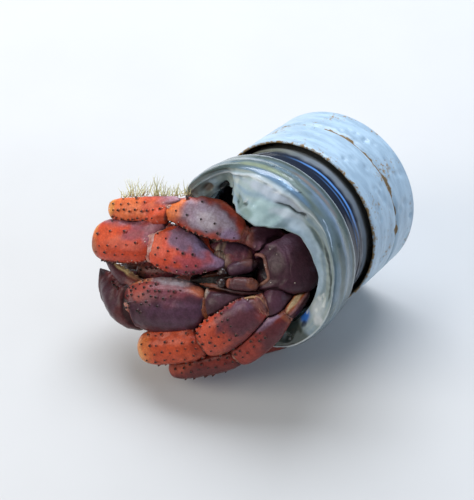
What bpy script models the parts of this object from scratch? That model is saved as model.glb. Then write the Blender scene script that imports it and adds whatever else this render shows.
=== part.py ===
"""A Caribbean land hermit crab half drawn into a broken glass bottle neck, life size.

The crab wears the neck of a bottle, with its metal screw cap still on, as its shell. It faces -X,
its back is up, and the bottle's mouth opens towards -Y. All sizes below are millimetres; the last
step turns the meshes to metres and centres the model over its origin on the floor.
Legs are numbered as pereopods: 1 is the claw, 2 and 3 are walking legs, 4 and 5 are the small ones.
"""
import math
import random

import bmesh
import bpy
from mathutils import Matrix, Vector
from mathutils.bvhtree import BVHTree

# Driving sizes of the bottle neck and the cap
METRE = 0.001
GAP = 0.32
CAP_RADIUS = 19.5
CAP_WALL = 0.55
CAP_START = 9.0
CAP_END = 28.5
CAP_ROUND = 0.8
CAP_GROOVE = 0.45
GLASS_RADIUS = 19.9
BEAD_RADIUS = 20.4
BORE_RADIUS = 15.4
RECESS_RADIUS = 18.0
FINISH_RADIUS = 17.9
FINISH_BORE = 13.8
BOTTLE_TILT = math.radians(15.8)
BOTTLE_STEPS = 60
CAP_STEPS = 48
RING_HEIGHT = CAP_END * math.sin(BOTTLE_TILT) + CAP_RADIUS * math.cos(BOTTLE_TILT) - 0.32

# The broken edge: how far it stands ahead of the collar's back, by angle round the bore.
# Angle 0 is +X and 90 is up. The hidden lower left side is broken back, where the legs cross it.
INNER_EDGE = [(-75, 5.6), (-60, 8.2), (-12, 7.9), (11, 7.5), (30, 8.7), (47, 9.4), (60, 11.0),
              (70, 13.8), (79, 15.2), (90, 15.0), (98, 14.2), (107, 12.2), (114, 9.6), (122, 6.4),
              (130, 5.0), (145, 5.0), (160, 4.8), (225, 4.2), (270, 4.8)]
MIDDLE_EDGE = [(-75, 6.0), (-60, 8.8), (-12, 9.4), (4, 7.6), (40, 7.3), (55, 7.8), (68, 9.3),
               (79, 11.1), (95, 11.0), (110, 9.4), (122, 5.8), (131, 4.8), (141, 5.6), (150, 6.4), (165, 4.9),
               (225, 4.5), (270, 5.2)]
OUTER_EDGE = [(-75, 5.4), (-60, 8.6), (-45, 9.3), (-30, 8.8), (5, 9.4), (28, 8.4), (45, 7.6),
              (130, 7.7), (150, 7.8), (158, 6.6), (168, 4.9), (225, 4.4), (270, 5.0)]
# The lip left at the top of the break leans in over the crab by this much
LIP_LEAN = [(-75, 0.0), (46, 0.0), (66, 1.2), (79, 2.0), (98, 1.9), (114, 0.6), (124, 0.0)]

# The crab's own directions
BACK_UP = Vector((0.165, -0.451, 0.876))
RIGHT_FACE = Vector((0.20, -0.45, 0.87))
LEFT_FACE = Vector((0.45, -0.70, 0.55))
CLAW_FACE = Vector((0.30, -0.75, 0.60))

# The tips of the walking legs are cut flat just below this height, to stand on the floor
FOOT = -0.22

# Joints of each leg: hip, then the ends of ischium, merus, carpus, propodus and dactyl
LEG_JOINTS = {
    "leg_2_right": [(0.8, -1.5, 24.0), (-5.8, -10.0, 26.0), (-20.4, -14.0, 27.0),
                    (-32.7, -17.0, 22.5), (-24.5, -7.0, 10.0), (-17.5, 0.5, FOOT)],
    "leg_3_right": [(2.2, 2.2, 26.5), (-3.0, -5.6, 31.5), (-19.6, -8.6, 33.3),
                    (-32.0, -12.0, 28.4), (-25.5, -2.5, 16.5), (-19.5, 7.5, FOOT)],
    "leg_2_left": [(10.6, -7.0, 21.3), (6.7, -12.8, 24.0), (-2.1, -22.0, 14.0),
                   (-14.4, -26.7, 8.4), (-6.0, -14.5, 4.0), (0.5, -4.5, FOOT)],
    "leg_3_left": [(11.9, -5.0, 24.0), (11.5, -12.0, 22.5), (4.6, -19.0, 11.5),
                   (-7.8, -25.1, 4.5), (0.5, -13.0, 3.0), (7.5, -3.0, FOOT)],
}
# Half height across each length (start, middle, end) and half thickness, in the same order
LEG_TALL = {
    "leg_2_right": [(2.2, 2.4, 2.2), (2.6, 5.3, 5.0), (4.7, 4.8, 4.3), (2.6, 2.6, 2.0), (1.8, 1.4, 0.6)],
    "leg_3_right": [(2.0, 2.4, 2.2), (2.3, 4.1, 2.7), (2.4, 2.7, 2.3), (2.1, 2.1, 1.7), (1.6, 1.3, 0.6)],
    "leg_2_left": [(3.2, 4.0, 3.4), (3.0, 4.3, 3.8), (3.1, 3.6, 3.4), (2.3, 2.1, 1.8), (1.6, 1.3, 0.6)],
    "leg_3_left": [(1.6, 1.9, 2.0), (2.2, 3.0, 2.8), (2.4, 2.7, 2.5), (1.9, 1.9, 1.7), (1.6, 1.3, 0.6)],
}
LEG_THICK = {
    "leg_2_right": [(1.8, 2.0, 1.8), (2.4, 2.9, 2.8), (3.0, 3.5, 3.2), (2.0, 2.0, 1.7), (1.5, 1.2, 0.5)],
    "leg_3_right": [(1.8, 2.2, 2.0), (1.9, 2.6, 2.1), (2.1, 2.6, 2.4), (1.8, 1.8, 1.5), (1.4, 1.2, 0.5)],
    "leg_2_left": [(2.4, 2.8, 2.6), (2.4, 2.8, 2.7), (2.8, 3.2, 3.0), (1.7, 1.7, 1.5), (1.4, 1.2, 0.5)],
    "leg_3_left": [(1.6, 1.8, 1.9), (2.0, 2.4, 2.4), (2.2, 2.6, 2.4), (1.6, 1.6, 1.5), (1.4, 1.2, 0.5)],
}
LEG_BOW = {"leg_3_right_merus": (-0.6, 1.3, 0.8), "leg_2_right_merus": (0.2, 0.6, 0.5)}
LENGTHS = ["ischium", "merus", "carpus", "propodus", "dactyl"]
REACH = [0.4, 1.0, 1.0, 0.8, 0.3]
SHOWN_FULL = 3.6
HIDDEN_FULL = 2.8
TIP_FULL = 2.2

# Spines: low black-tipped cones in rows along a length, flared where they sink into it. A spine
# stays this clear of a neighbour, which is looked for within SPINE_REACH.
# Each row is its angle round the length (0 faces out, 90 is the upper edge), count, and span.
SPINE_RADIUS = 0.42
SPINE_HEIGHT = 0.62
SPINE_ROOT = 0.7
SPINE_SIDES = 5
SPINE_FLARE = 1.5
SPINE_CLEAR = 0.5
SPINE_REACH = 6.0
SPINE_ROWS = {
    "leg_3_right_carpus": [(8, 5, 0.2, 0.8), (-22, 6, 0.12, 0.88), (-58, 7, 0.1, 0.9)],
    "leg_3_right_merus": [(15, 3, 0.45, 0.85), (-22, 4, 0.3, 0.9), (-68, 7, 0.2, 0.9)],
    "leg_2_right_carpus": [(48, 4, 0.2, 0.8), (18, 5, 0.15, 0.85), (-14, 5, 0.12, 0.86), (-48, 5, 0.15, 0.85)],
    "leg_2_right_merus": [(42, 4, 0.45, 0.85), (8, 5, 0.3, 0.9), (-24, 5, 0.35, 0.9), (-55, 5, 0.25, 0.85)],
    "claw_left_palm": [(62, 6, 0.3, 0.88), (44, 7, 0.3, 0.92), (26, 6, 0.4, 0.92), (8, 4, 0.6, 0.92)],
    "leg_2_left_merus": [(82, 6, 0.2, 0.85), (46, 5, 0.3, 0.9), (14, 5, 0.35, 0.9), (-20, 5, 0.45, 0.9)],
    "leg_2_left_carpus": [(50, 6, 0.12, 0.86), (16, 7, 0.12, 0.9), (-20, 6, 0.12, 0.88)],
    "leg_3_left_merus": [(38, 4, 0.3, 0.85), (0, 4, 0.45, 0.9)],
    "leg_3_left_carpus": [(34, 6, 0.12, 0.88), (-6, 6, 0.12, 0.88)],
    "claw_right_palm": [(30, 4, 0.3, 0.9), (-10, 4, 0.3, 0.9)],
}

# Bristles: flat tapered locks that stand up from the upper edge of the third right leg.
# Each row is its count and its span along the length.
BRISTLE_LENGTH = 2.9
BRISTLE_ROOT = 0.9
BRISTLE_ROWS = {"leg_3_right_carpus": (11, 0.16, 0.92), "leg_3_right_merus": (5, 0.72, 0.95)}

# Colours as linear red, green, blue
ORANGE = (0.62, 0.10, 0.02)
PURPLE = (0.06, 0.018, 0.022)
PALE_GLASS = (0.46, 0.57, 0.51)
PALE_PAINT = (0.50, 0.62, 0.70)
EYE_BLACK = (0.01, 0.01, 0.012)


def material_of(name, colour, roughness, metallic=0.0):
    """A Principled material with one colour, made once for each name."""
    material = bpy.data.materials.new(name)
    material.use_nodes = True
    shader = material.node_tree.nodes["Principled BSDF"]
    shader.inputs["Base Color"].default_value = (*colour, 1.0)
    shader.inputs["Roughness"].default_value = roughness
    shader.inputs["Metallic"].default_value = metallic
    material.diffuse_color = (*colour, 1.0)
    return material


def face_outwards(bm):
    """Turn every face of a closed surface to point out."""
    bmesh.ops.recalc_face_normals(bm, faces=bm.faces)
    if bm.calc_volume(signed=True) < 0:
        bmesh.ops.reverse_faces(bm, faces=bm.faces)


def new_object(name, bm, material, collection):
    """Turn a bmesh into a mesh object with outward faces."""
    face_outwards(bm)
    mesh = bpy.data.meshes.new(name)
    bm.to_mesh(mesh)
    bm.free()
    if material is not None:
        mesh.materials.append(material)
    obj = bpy.data.objects.new(name, mesh)
    collection.objects.link(obj)
    return obj


def through(sizes, t):
    """A smooth value through three sizes given at t = 0, 0.5 and 1."""
    first, middle, last = sizes
    return first * (1 - t) * (1 - 2 * t) + middle * 4 * t * (1 - t) + last * t * (2 * t - 1)


class Form:
    """A rounded length of body: an oval section swept along a line that may bow to one side."""

    def __init__(self, start, end, face, tall, thick, full=HIDDEN_FULL, bow=(0, 0, 0), sides=12, rings=8):
        self.start, self.end = Vector(start), Vector(end)
        self.bend = (self.start + self.end) / 2 + Vector(bow)
        self.face = Vector(face)
        self.tall, self.thick, self.full = tall, thick, full
        self.sides, self.rings = sides, rings

    def frame(self, t):
        """Centre, direction, side and outward face of the section at t."""
        centre = (1 - t) ** 2 * self.start + 2 * t * (1 - t) * self.bend + t * t * self.end
        along = ((1 - t) * (self.bend - self.start) + t * (self.end - self.bend)).normalized()
        face = (self.face - self.face.dot(along) * along).normalized()
        return centre, along, along.cross(face), face

    def point(self, t, angle, grow=0.0):
        """A point on the surface; angle 0 is the outward face and 90 degrees the upper side."""
        centre, along, side, face = self.frame(t)
        closing = (1 - abs(1 - 2 * t) ** self.full) ** (1 / self.full)
        tall = (through(self.tall, t) + grow) * closing
        thick = (through(self.thick, t) + grow) * closing
        ends = (2 * t - 1) * grow
        return centre + along * ends + side * (tall * math.sin(angle)) + face * (thick * math.cos(angle))

    def normal(self, t, angle):
        """The direction away from the centre line that a spine at this place points in."""
        _, _, side, face = self.frame(t)
        tall, thick = through(self.tall, t), through(self.thick, t)
        return (side * (math.sin(angle) / tall) + face * (math.cos(angle) / thick)).normalized()

    def shape(self, grow=0.0):
        """The closed surface, as a sphere whose points are moved onto the swept form."""
        bm = bmesh.new()
        bmesh.ops.create_uvsphere(bm, u_segments=self.sides, v_segments=self.rings, radius=1.0)
        for vert in bm.verts:
            t = min(max((1 - vert.co.z) / 2, 0.0), 1.0)
            vert.co = self.point(t, math.atan2(vert.co.y, vert.co.x), grow)
        face_outwards(bm)
        return bm


def evaluated_mesh(obj):
    """Bake an object's modifiers into its mesh."""
    depsgraph = bpy.context.evaluated_depsgraph_get()
    mesh = bpy.data.meshes.new_from_object(obj.evaluated_get(depsgraph))
    obj.modifiers.clear()
    old = obj.data
    obj.data = mesh
    bpy.data.meshes.remove(old)


def islands(bm):
    """The connected pieces of a mesh, as lists of faces."""
    left = set(bm.faces)
    pieces = []
    while left:
        stack = [left.pop()]
        piece = []
        while stack:
            face = stack.pop()
            piece.append(face)
            for edge in face.edges:
                for other in edge.link_faces:
                    if other in left:
                        left.remove(other)
                        stack.append(other)
        pieces.append(piece)
    return pieces


def keep_largest(obj):
    """Keep the largest closed surface of an object and drop the rest."""
    bm = bmesh.new()
    bm.from_mesh(obj.data)
    pieces = sorted(islands(bm), key=lambda piece: sum(face.calc_area() for face in piece))
    dropped = [face for piece in pieces[:-1] for face in piece]
    if dropped:
        bmesh.ops.delete(bm, geom=dropped, context="FACES")
    bm.to_mesh(obj.data)
    bm.free()


def cut_by(obj, form):
    """Cut an object by a neighbour's form, grown by the gap, so that they meet face to face."""
    cutter = new_object("cutter", form.shape(GAP), None, cutters)
    cutter.hide_render = True
    cutter.display_type = "WIRE"
    cut = obj.modifiers.new("cut", "BOOLEAN")
    cut.operation = "DIFFERENCE"
    cut.solver = "EXACT"
    cut.object = cutter
    evaluated_mesh(obj)
    bpy.data.objects.remove(cutter)
    keep_largest(obj)


def fuse(obj, pieces):
    """Join small pieces to the node that they grow from, as one closed body."""
    group = bpy.data.collections.new("pieces")
    for index, bm in enumerate(pieces):
        new_object(f"piece_{index}", bm, None, group)
    join = obj.modifiers.new("join", "BOOLEAN")
    join.operation = "UNION"
    join.solver = "EXACT"
    join.operand_type = "COLLECTION"
    join.collection = group
    evaluated_mesh(obj)
    for piece in list(group.objects):
        bpy.data.objects.remove(piece)
    bpy.data.collections.remove(group)
    keep_largest(obj)


def flatten_foot(obj):
    """Cut an object flat at the floor, so that it rests on a small face there."""
    bm = bmesh.new()
    bm.from_mesh(obj.data)
    if min(vert.co.z for vert in bm.verts) < 0:
        everything = list(bm.verts) + list(bm.edges) + list(bm.faces)
        bmesh.ops.bisect_plane(bm, geom=everything, plane_co=(0, 0, 0), plane_no=(0, 0, 1), clear_inner=True)
        rim = [edge for edge in bm.edges if edge.is_boundary]
        bmesh.ops.holes_fill(bm, edges=rim, sides=0)
        bmesh.ops.recalc_face_normals(bm, faces=bm.faces)
        bm.to_mesh(obj.data)
    bm.free()


def by_angle(table, angle):
    """Read an edge's reach at an angle in degrees, smoothly between its named angles."""
    angle = (angle - table[0][0]) % 360 + table[0][0]
    wrapped = table + [(table[0][0] + 360, table[0][1])]
    for (low, first), (high, last) in zip(wrapped, wrapped[1:]):
        if low <= angle <= high:
            t = (angle - low) / (high - low)
            return first + (last - first) * t * t * (3 - 2 * t)
    return table[0][1]


def bottle_place():
    """The bottle's own frame: Z runs from the mouth to the cap, from the ring's centre."""
    turn = Matrix.Rotation(-math.pi / 2 - BOTTLE_TILT, 4, "X")
    return Matrix.Translation((0, 0, RING_HEIGHT)) @ turn


def turned(profile, closed, steps):
    """Spin a profile of radius and height pairs all the way round Z."""
    bm = bmesh.new()
    verts = [bm.verts.new((radius, 0, height)) for radius, height in profile]
    edges = [bm.edges.new(pair) for pair in zip(verts, verts[1:])]
    if closed:
        edges.append(bm.edges.new((verts[-1], verts[0])))
    bmesh.ops.spin(bm, geom=verts + edges, axis=(0, 0, 1), cent=(0, 0, 0), steps=steps,
                   angle=2 * math.pi, use_merge=True)
    bmesh.ops.remove_doubles(bm, verts=bm.verts, dist=0.0001)
    return bm


def make_bottle_neck(collection):
    """The neck: collar, recess and finish outside, bore inside, and a broken front edge."""
    middle_radius = (GLASS_RADIUS + BORE_RADIUS) / 2
    finish_end = CAP_END - CAP_WALL - GAP
    front = -6.0
    profile = [(BORE_RADIUS, front), (middle_radius, front), (GLASS_RADIUS, front),
               (GLASS_RADIUS + 0.1, -3.0), (GLASS_RADIUS - 0.2, 0.0), (RECESS_RADIUS, 1.6),
               (RECESS_RADIUS, CAP_START - 0.6), (FINISH_RADIUS, CAP_START + 0.4),
               (FINISH_RADIUS, finish_end - 0.5), (FINISH_RADIUS - 0.7, finish_end),
               (FINISH_BORE, finish_end), (FINISH_BORE, 8.5), (BORE_RADIUS, 5.5), (BORE_RADIUS, -0.5)]
    bm = turned(profile, True, BOTTLE_STEPS)
    edges = [(BORE_RADIUS, INNER_EDGE), (middle_radius, MIDDLE_EDGE), (GLASS_RADIUS, OUTER_EDGE)]
    for vert in bm.verts:
        radius = math.hypot(vert.co.x, vert.co.y)
        if abs(vert.co.z - front) < 0.01:
            angle = -math.degrees(math.atan2(vert.co.y, vert.co.x))
            table = min(edges, key=lambda pair: abs(pair[0] - radius))[1]
            vert.co.z = -by_angle(table, angle)
            if table is OUTER_EDGE:
                vert.co.xy *= BEAD_RADIUS / GLASS_RADIUS
            if table is INNER_EDGE:
                vert.co.xy *= 1 - by_angle(LIP_LEAN, angle) / BORE_RADIUS
    bm.transform(bottle_place())
    glass = material_of("bottle_glass", PALE_GLASS, 0.1)
    return new_object("bottle_neck", bm, glass, collection)


def make_screw_cap(collection):
    """The metal cap: a thin round shell with a rolled groove, flat where it meets the floor."""
    inner = CAP_RADIUS - CAP_WALL
    groove = CAP_START + 9.2
    profile = [(0, CAP_END), (CAP_RADIUS - 1.6, CAP_END), (CAP_RADIUS - 0.3, CAP_END - CAP_ROUND * 0.4),
               (CAP_RADIUS, CAP_END - CAP_ROUND), (CAP_RADIUS, groove + 0.8),
               (CAP_RADIUS - CAP_GROOVE, groove), (CAP_RADIUS, groove - 0.8), (CAP_RADIUS, CAP_START),
               (inner, CAP_START), (inner, groove - 0.8), (inner - CAP_GROOVE, groove),
               (inner, groove + 0.8), (inner, CAP_END - CAP_WALL), (0, CAP_END - CAP_WALL)]
    bm = turned(profile, False, CAP_STEPS)
    bm.transform(bottle_place())
    paint = material_of("painted_cap", PALE_PAINT, 0.45, 0.1)
    cap = new_object("screw_cap", bm, paint, collection)
    flatten_foot(cap)
    return cap


def leg_forms():
    """The lengths of the four walking legs."""
    forms = {}
    for leg, joints in LEG_JOINTS.items():
        face = RIGHT_FACE if "right" in leg else LEFT_FACE
        for index, length in enumerate(LENGTHS):
            name = f"{leg}_{length}"
            start, end = Vector(joints[index]), Vector(joints[index + 1])
            along = (end - start).normalized()
            start -= along * REACH[index]
            end += along * REACH[index]
            shown = length in ("merus", "carpus")
            full = SHOWN_FULL if shown else HIDDEN_FULL
            bow = LEG_BOW.get(name, (0, 0, 0))
            if length == "dactyl":
                full = TIP_FULL
                bow = (0, 0, 1.2)
            forms[name] = [Form(start, end, face, LEG_TALL[leg][index], LEG_THICK[leg][index],
                                full, bow, 14 if shown else 10, 9 if shown else 7)]
    return forms


def claw_forms():
    """The lengths of the big left claw and the small right one; a palm carries its fixed finger."""
    return {
        "claw_left_merus": [Form((7.0, -6.5, 19.0), (2.2, -11.5, 20.3), CLAW_FACE,
                                 (2.6, 3.0, 3.0), (2.6, 3.0, 3.0))],
        "claw_left_carpus": [Form((3.6, -10.6, 21.2), (-5.6, -17.3, 19.0), CLAW_FACE,
                                  (3.2, 3.9, 4.2), (3.4, 4.0, 4.2), 3.0, sides=14, rings=9)],
        "claw_left_palm": [Form((-3.2, -16.4, 19.0), (-21.6, -23.3, 16.0), CLAW_FACE,
                                (4.2, 5.6, 4.8), (3.8, 4.6, 3.6), 3.2, sides=16, rings=11),
                           Form((-17.6, -20.6, 17.8), (-31.2, -17.4, 17.4), CLAW_FACE,
                                (2.4, 1.9, 0.7), (2.4, 1.8, 0.7), TIP_FULL, (0.4, -0.8, 0.6))],
        "claw_left_finger": [Form((-15.6, -23.0, 12.4), (-32.2, -18.4, 15.2), CLAW_FACE,
                                  (4.4, 4.3, 0.9), (3.0, 2.8, 0.9), TIP_FULL, (-1.2, -2.2, -1.0),
                                  sides=14, rings=9)],
        "claw_right_merus": [Form((0.2, -5.0, 25.4), (-13.0, -8.4, 24.2), RIGHT_FACE,
                                  (3.0, 3.9, 3.2), (2.0, 2.4, 2.2), 3.2, sides=14, rings=9)],
        "claw_right_carpus": [Form((-12.0, -8.6, 24.0), (-16.4, -12.4, 19.8), RIGHT_FACE,
                                   (2.2, 2.4, 2.2), (1.9, 2.1, 2.0))],
        "claw_right_palm": [Form((-15.4, -12.2, 19.6), (-24.3, -15.2, 16.6), RIGHT_FACE,
                                 (2.2, 2.7, 2.3), (2.0, 2.3, 2.0), 3.0),
                            Form((-22.6, -16.2, 16.2), (-29.4, -16.6, 13.6), RIGHT_FACE,
                                 (1.3, 1.1, 0.5), (1.3, 1.1, 0.5), TIP_FULL)],
        "claw_right_finger": [Form((-22.9, -13.6, 16.9), (-29.8, -14.4, 14.2), RIGHT_FACE,
                                   (1.5, 1.3, 0.5), (1.4, 1.2, 0.5), TIP_FULL)],
    }


def head_forms():
    """Eyes, feelers and the outer mouth parts."""
    forms = {}
    for side, root, tip, cornea in (("right", (1.4, -7.1, 27.7), (-3.0, -11.2, 26.2), (-5.0, -12.8, 25.6)),
                                    ("left", (4.2, -11.4, 26.6), (-1.6, -13.8, 25.7), (-4.0, -14.7, 25.3))):
        forms[f"cornea_{side}"] = [Form(tip, cornea, RIGHT_FACE, (1.0, 1.35, 1.1), (0.9, 1.2, 1.0), 2.2,
                                        sides=10, rings=7)]
        forms[f"eyestalk_{side}"] = [Form(root, Vector(tip).lerp(Vector(cornea), 0.3), RIGHT_FACE,
                                          (1.4, 1.4, 1.25), (1.1, 1.2, 1.1), 3.0, sides=10, rings=7)]
    forms["antenna_left"] = [Form((4.6, -12.0, 24.6), (-8.0, -15.0, 22.6), LEFT_FACE,
                                  (1.0, 0.8, 0.35), (1.0, 0.8, 0.35), 2.4, (0, -1.0, 1.2), 8, 9)]
    forms["antenna_right"] = [Form((-1.6, -5.6, 23.6), (-9.5, -12.4, 21.2), RIGHT_FACE,
                                   (1.0, 0.8, 0.35), (1.0, 0.8, 0.35), 2.4, (0.6, -0.6, 0.8), 8, 9)]
    forms["antennule_left"] = [Form((2.2, -9.4, 24.4), (-4.6, -12.6, 22.2), RIGHT_FACE,
                                    (0.7, 0.55, 0.3), (0.7, 0.55, 0.3), 2.4, (0, -0.4, 0.7), 8, 8)]
    forms["antennule_right"] = [Form((0.6, -7.8, 24.0), (-5.6, -11.2, 22.0), RIGHT_FACE,
                                     (0.7, 0.55, 0.3), (0.7, 0.55, 0.3), 2.4, (0, -0.4, 0.7), 8, 8)]
    forms["maxilliped_left"] = [Form((-0.2, -9.6, 21.2), (-8.2, -13.6, 19.0), RIGHT_FACE,
                                     (1.2, 1.2, 0.5), (1.1, 1.1, 0.5), 2.4, sides=10, rings=8)]
    forms["maxilliped_right"] = [Form((-1.6, -6.4, 20.6), (-9.2, -10.2, 19.0), RIGHT_FACE,
                                      (1.2, 1.2, 0.5), (1.1, 1.1, 0.5), 2.4, sides=10, rings=8)]
    return forms


def body_forms():
    """Shield, the soft body behind it, and the four small legs inside the bottle."""
    return {
        "shield": [Form((11.7, 0.4, 29.0), (1.4, -8.8, 26.5), BACK_UP, (6.0, 6.6, 5.0), (3.0, 4.0, 3.0), 3.0,
                        sides=18, rings=12)],
        "thorax": [Form((10.4, 3.4, 24.2), (0.5, -6.3, 21.6), BACK_UP, (4.2, 6.0, 4.4), (3.6, 4.4, 3.6),
                        sides=14, rings=9)],
        "abdomen_front": [Form((9.4, 5.0, 22.4), (2.0, 17.6, 19.4), BACK_UP, (3.8, 4.3, 3.8), (3.8, 4.3, 3.8),
                               HIDDEN_FULL, (2.2, 1.6, 0), 12, 9)],
        "abdomen_rear": [Form((2.8, 17.4, 19.4), (-8.0, 13.6, 20.4), BACK_UP, (3.6, 3.2, 2.4), (3.6, 3.2, 2.4),
                              2.6, (-1.0, 2.6, 0), 12, 9)],
        "tail_fan": [Form((-7.6, 14.2, 20.2), (-8.6, 8.6, 22.0), BACK_UP, (2.0, 2.2, 1.5), (1.5, 1.5, 1.0), 2.4,
                          sides=10, rings=7)],
        "leg_4_right": [Form((6.2, 4.3, 25.6), (0.0, 4.6, 30.6), BACK_UP, (1.2, 1.1, 0.6), (1.1, 1.0, 0.6), 2.4,
                             (0, 2.4, 1.6), 8, 7)],
        "leg_5_right": [Form((7.4, 7.4, 24.2), (0.6, 10.4, 28.6), BACK_UP, (1.0, 0.9, 0.5), (1.0, 0.9, 0.5), 2.4,
                             (0, 1.4, 1.6), 8, 7)],
        "leg_4_left": [Form((10.2, -0.6, 21.6), (5.6, 2.6, 14.4), BACK_UP, (1.2, 1.1, 0.6), (1.1, 1.0, 0.6), 2.4,
                            (1.4, 0.6, -0.6), 8, 7)],
        "leg_5_left": [Form((9.4, 4.2, 20.4), (2.8, 8.4, 15.0), BACK_UP, (1.0, 0.9, 0.5), (1.0, 0.9, 0.5), 2.4,
                            (1.2, 1.2, -1.0), 8, 7)],
    }


# Each node is cut by the ones before it in this list, so the first keep their whole shape
CUT_ORDER = ["shield", "leg_3_right_merus", "leg_3_right_carpus", "leg_2_right_merus", "leg_2_right_carpus",
             "claw_left_palm", "claw_left_finger", "leg_2_left_merus", "leg_2_left_carpus",
             "leg_3_left_merus", "leg_3_left_carpus", "claw_left_carpus", "eyestalk_left", "eyestalk_right",
             "cornea_left", "cornea_right", "leg_3_right_ischium", "leg_2_left_ischium", "leg_3_left_ischium",
             "claw_right_merus", "claw_right_carpus", "claw_right_palm", "claw_right_finger", "thorax",
             "leg_2_right_ischium", "claw_left_merus", "leg_2_right_propodus", "leg_3_right_propodus",
             "leg_2_left_propodus", "leg_3_left_propodus", "leg_2_right_dactyl", "leg_3_right_dactyl",
             "leg_2_left_dactyl", "leg_3_left_dactyl", "abdomen_front", "abdomen_rear", "tail_fan",
             "leg_4_right", "leg_5_right", "leg_4_left", "leg_5_left", "antenna_left", "antenna_right",
             "antennule_left", "antennule_right", "maxilliped_left", "maxilliped_right"]


def near(form, other):
    """Whether the boxes round two forms come within the gap of each other."""
    boxes = []
    for item in (form, other):
        points = [item.point(i / 12, a * math.pi / 4) for i in range(13) for a in range(8)]
        boxes.append([(min(p[axis] for p in points), max(p[axis] for p in points)) for axis in range(3)])
    return all(a[0] - 1.0 < b[1] and b[0] < a[1] + 1.0 for a, b in zip(*boxes))


def clear_of(trees, points):
    """Whether every point is outside all the surfaces."""
    for tree in trees:
        for point in points:
            place, normal, _, distance = tree.find_nearest(point)
            if distance < SPINE_REACH and (point - place).dot(normal) < 0:
                return False
    return True


def spine(form, t, angle, size):
    """One low cone with its root sunk in the surface, and the points that must stay clear."""
    base = form.point(t, angle)
    out = form.normal(t, angle)
    bm = bmesh.new()
    height = (SPINE_HEIGHT + SPINE_ROOT) * size
    bmesh.ops.create_cone(bm, cap_ends=True, segments=SPINE_SIDES, depth=height,
                          radius1=SPINE_RADIUS * SPINE_FLARE * size, radius2=0.0)
    centre = base + out * (height / 2 - SPINE_ROOT * size)
    bm.transform(Matrix.Translation(centre) @ out.to_track_quat("Z", "Y").to_matrix().to_4x4())
    return bm, [base + out * 0.1, base + out * SPINE_HEIGHT * size]


def spines_of(name, form, trees, draw):
    """The rows of spines on one length, without those that would touch a neighbour."""
    pieces = []
    for row, (angle, count, first, last) in enumerate(SPINE_ROWS.get(name, [])):
        for index in range(count):
            t = first + (last - first) * (index + 0.5 * (row % 2)) / count + draw.uniform(-0.015, 0.015)
            place = math.radians(angle + draw.uniform(-5, 5))
            bm, points = spine(form, t, place, draw.uniform(0.8, 1.1))
            if clear_of(trees, points):
                pieces.append(bm)
            else:
                bm.free()
    return pieces


def bristles_of(name, form, trees, draw):
    """The flat tapered locks along one length's upper edge, leaning a little this way and that."""
    pieces = []
    if name not in BRISTLE_ROWS:
        return pieces
    count, first, last = BRISTLE_ROWS[name]
    for index in range(count):
        t = first + (last - first) * index / (count - 1)
        place = math.radians(90 + draw.uniform(-22, 22))
        _, along, side, face = form.frame(t)
        out = (side + face * draw.uniform(-0.1, 0.5) + along * draw.uniform(-0.45, 0.35)).normalized()
        root = form.point(t, place) - out * BRISTLE_ROOT
        tip = root + out * (BRISTLE_ROOT + BRISTLE_LENGTH * draw.uniform(0.65, 1.0))
        lean = along * draw.uniform(-0.5, 0.5)
        lock = Form(root, tip, face, (0.55, 0.42, 0.12), (0.3, 0.27, 0.1), TIP_FULL, lean, 5, 4)
        if clear_of(trees, [root.lerp(tip, 0.4), root.lerp(tip, 0.7), tip]):
            pieces.append(lock.shape())
    return pieces


def make_crab(collection, bottle):
    """Every length of the crab, with its spines and bristles, cut clear of its neighbours."""
    bodies = {**leg_forms(), **claw_forms(), **head_forms(), **body_forms()}
    draw = random.Random(7)
    grown = {name: [BVHTree.FromBMesh(form.shape(SPINE_CLEAR)) for form in forms]
             for name, forms in bodies.items()}
    bottle_tree = BVHTree.FromPolygons([vert.co for vert in bottle.data.vertices],
                                       [face.vertices for face in bottle.data.polygons])
    for index, name in enumerate(CUT_ORDER):
        dark = "merus" in name or "ischium" in name or name in ("shield", "thorax")
        colour = PURPLE if dark else ORANGE
        colour = EYE_BLACK if "cornea" in name else colour
        forms = bodies[name]
        obj = new_object(name, forms[0].shape(), material_of(name, colour, 0.4), collection)
        trees = [tree for other in bodies if other != name for tree in grown[other]] + [bottle_tree]
        pieces = [form.shape() for form in forms[1:]]
        pieces += spines_of(name, forms[0], trees, draw)
        pieces += bristles_of(name, forms[0], trees, draw)
        if pieces:
            fuse(obj, pieces)
        for earlier in CUT_ORDER[:index]:
            for cutter in bodies[earlier]:
                if any(near(form, cutter) for form in forms):
                    cut_by(obj, cutter)
        flatten_foot(obj)


def settle(objects):
    """Turn millimetres to metres and centre the model over its origin on the floor."""
    corners = [vert.co for obj in objects for vert in obj.data.vertices]
    low = Vector([min(co[axis] for co in corners) for axis in range(3)])
    high = Vector([max(co[axis] for co in corners) for axis in range(3)])
    shift = Matrix.Translation((-(low.x + high.x) / 2, -(low.y + high.y) / 2, -low.z))
    for obj in objects:
        obj.data.transform(Matrix.Scale(METRE, 4) @ shift)
        obj.data.shade_smooth()
        obj.data.set_sharp_from_angle(angle=math.radians(40))


for old in list(bpy.data.objects):
    bpy.data.objects.remove(old)
parts = bpy.data.collections.new("hermit_crab")
cutters = bpy.data.collections.new("cutters")
bpy.context.scene.collection.children.link(parts)
bpy.context.scene.collection.children.link(cutters)
bottle_neck = make_bottle_neck(parts)
make_screw_cap(parts)
make_crab(parts, bottle_neck)
settle(list(parts.objects))
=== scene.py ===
# %% [markdown]
# # A Caribbean land hermit crab in a broken bottle neck
# This lesson dresses a life-size museum model. The animal has no snail shell: it lives in the
# broken-off neck of a glass bottle whose metal screw cap is still on.
#
# The solids come packed in one fixed frame, in metres. Each cell below makes one part of the
# model at a finer scale than its solid, in the same place, and gives it its real finish.

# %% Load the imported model
import functools
import math
import random

import bmesh
import bpy
from mathutils import Matrix, Vector, noise
from mathutils.bvhtree import BVHTree


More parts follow.
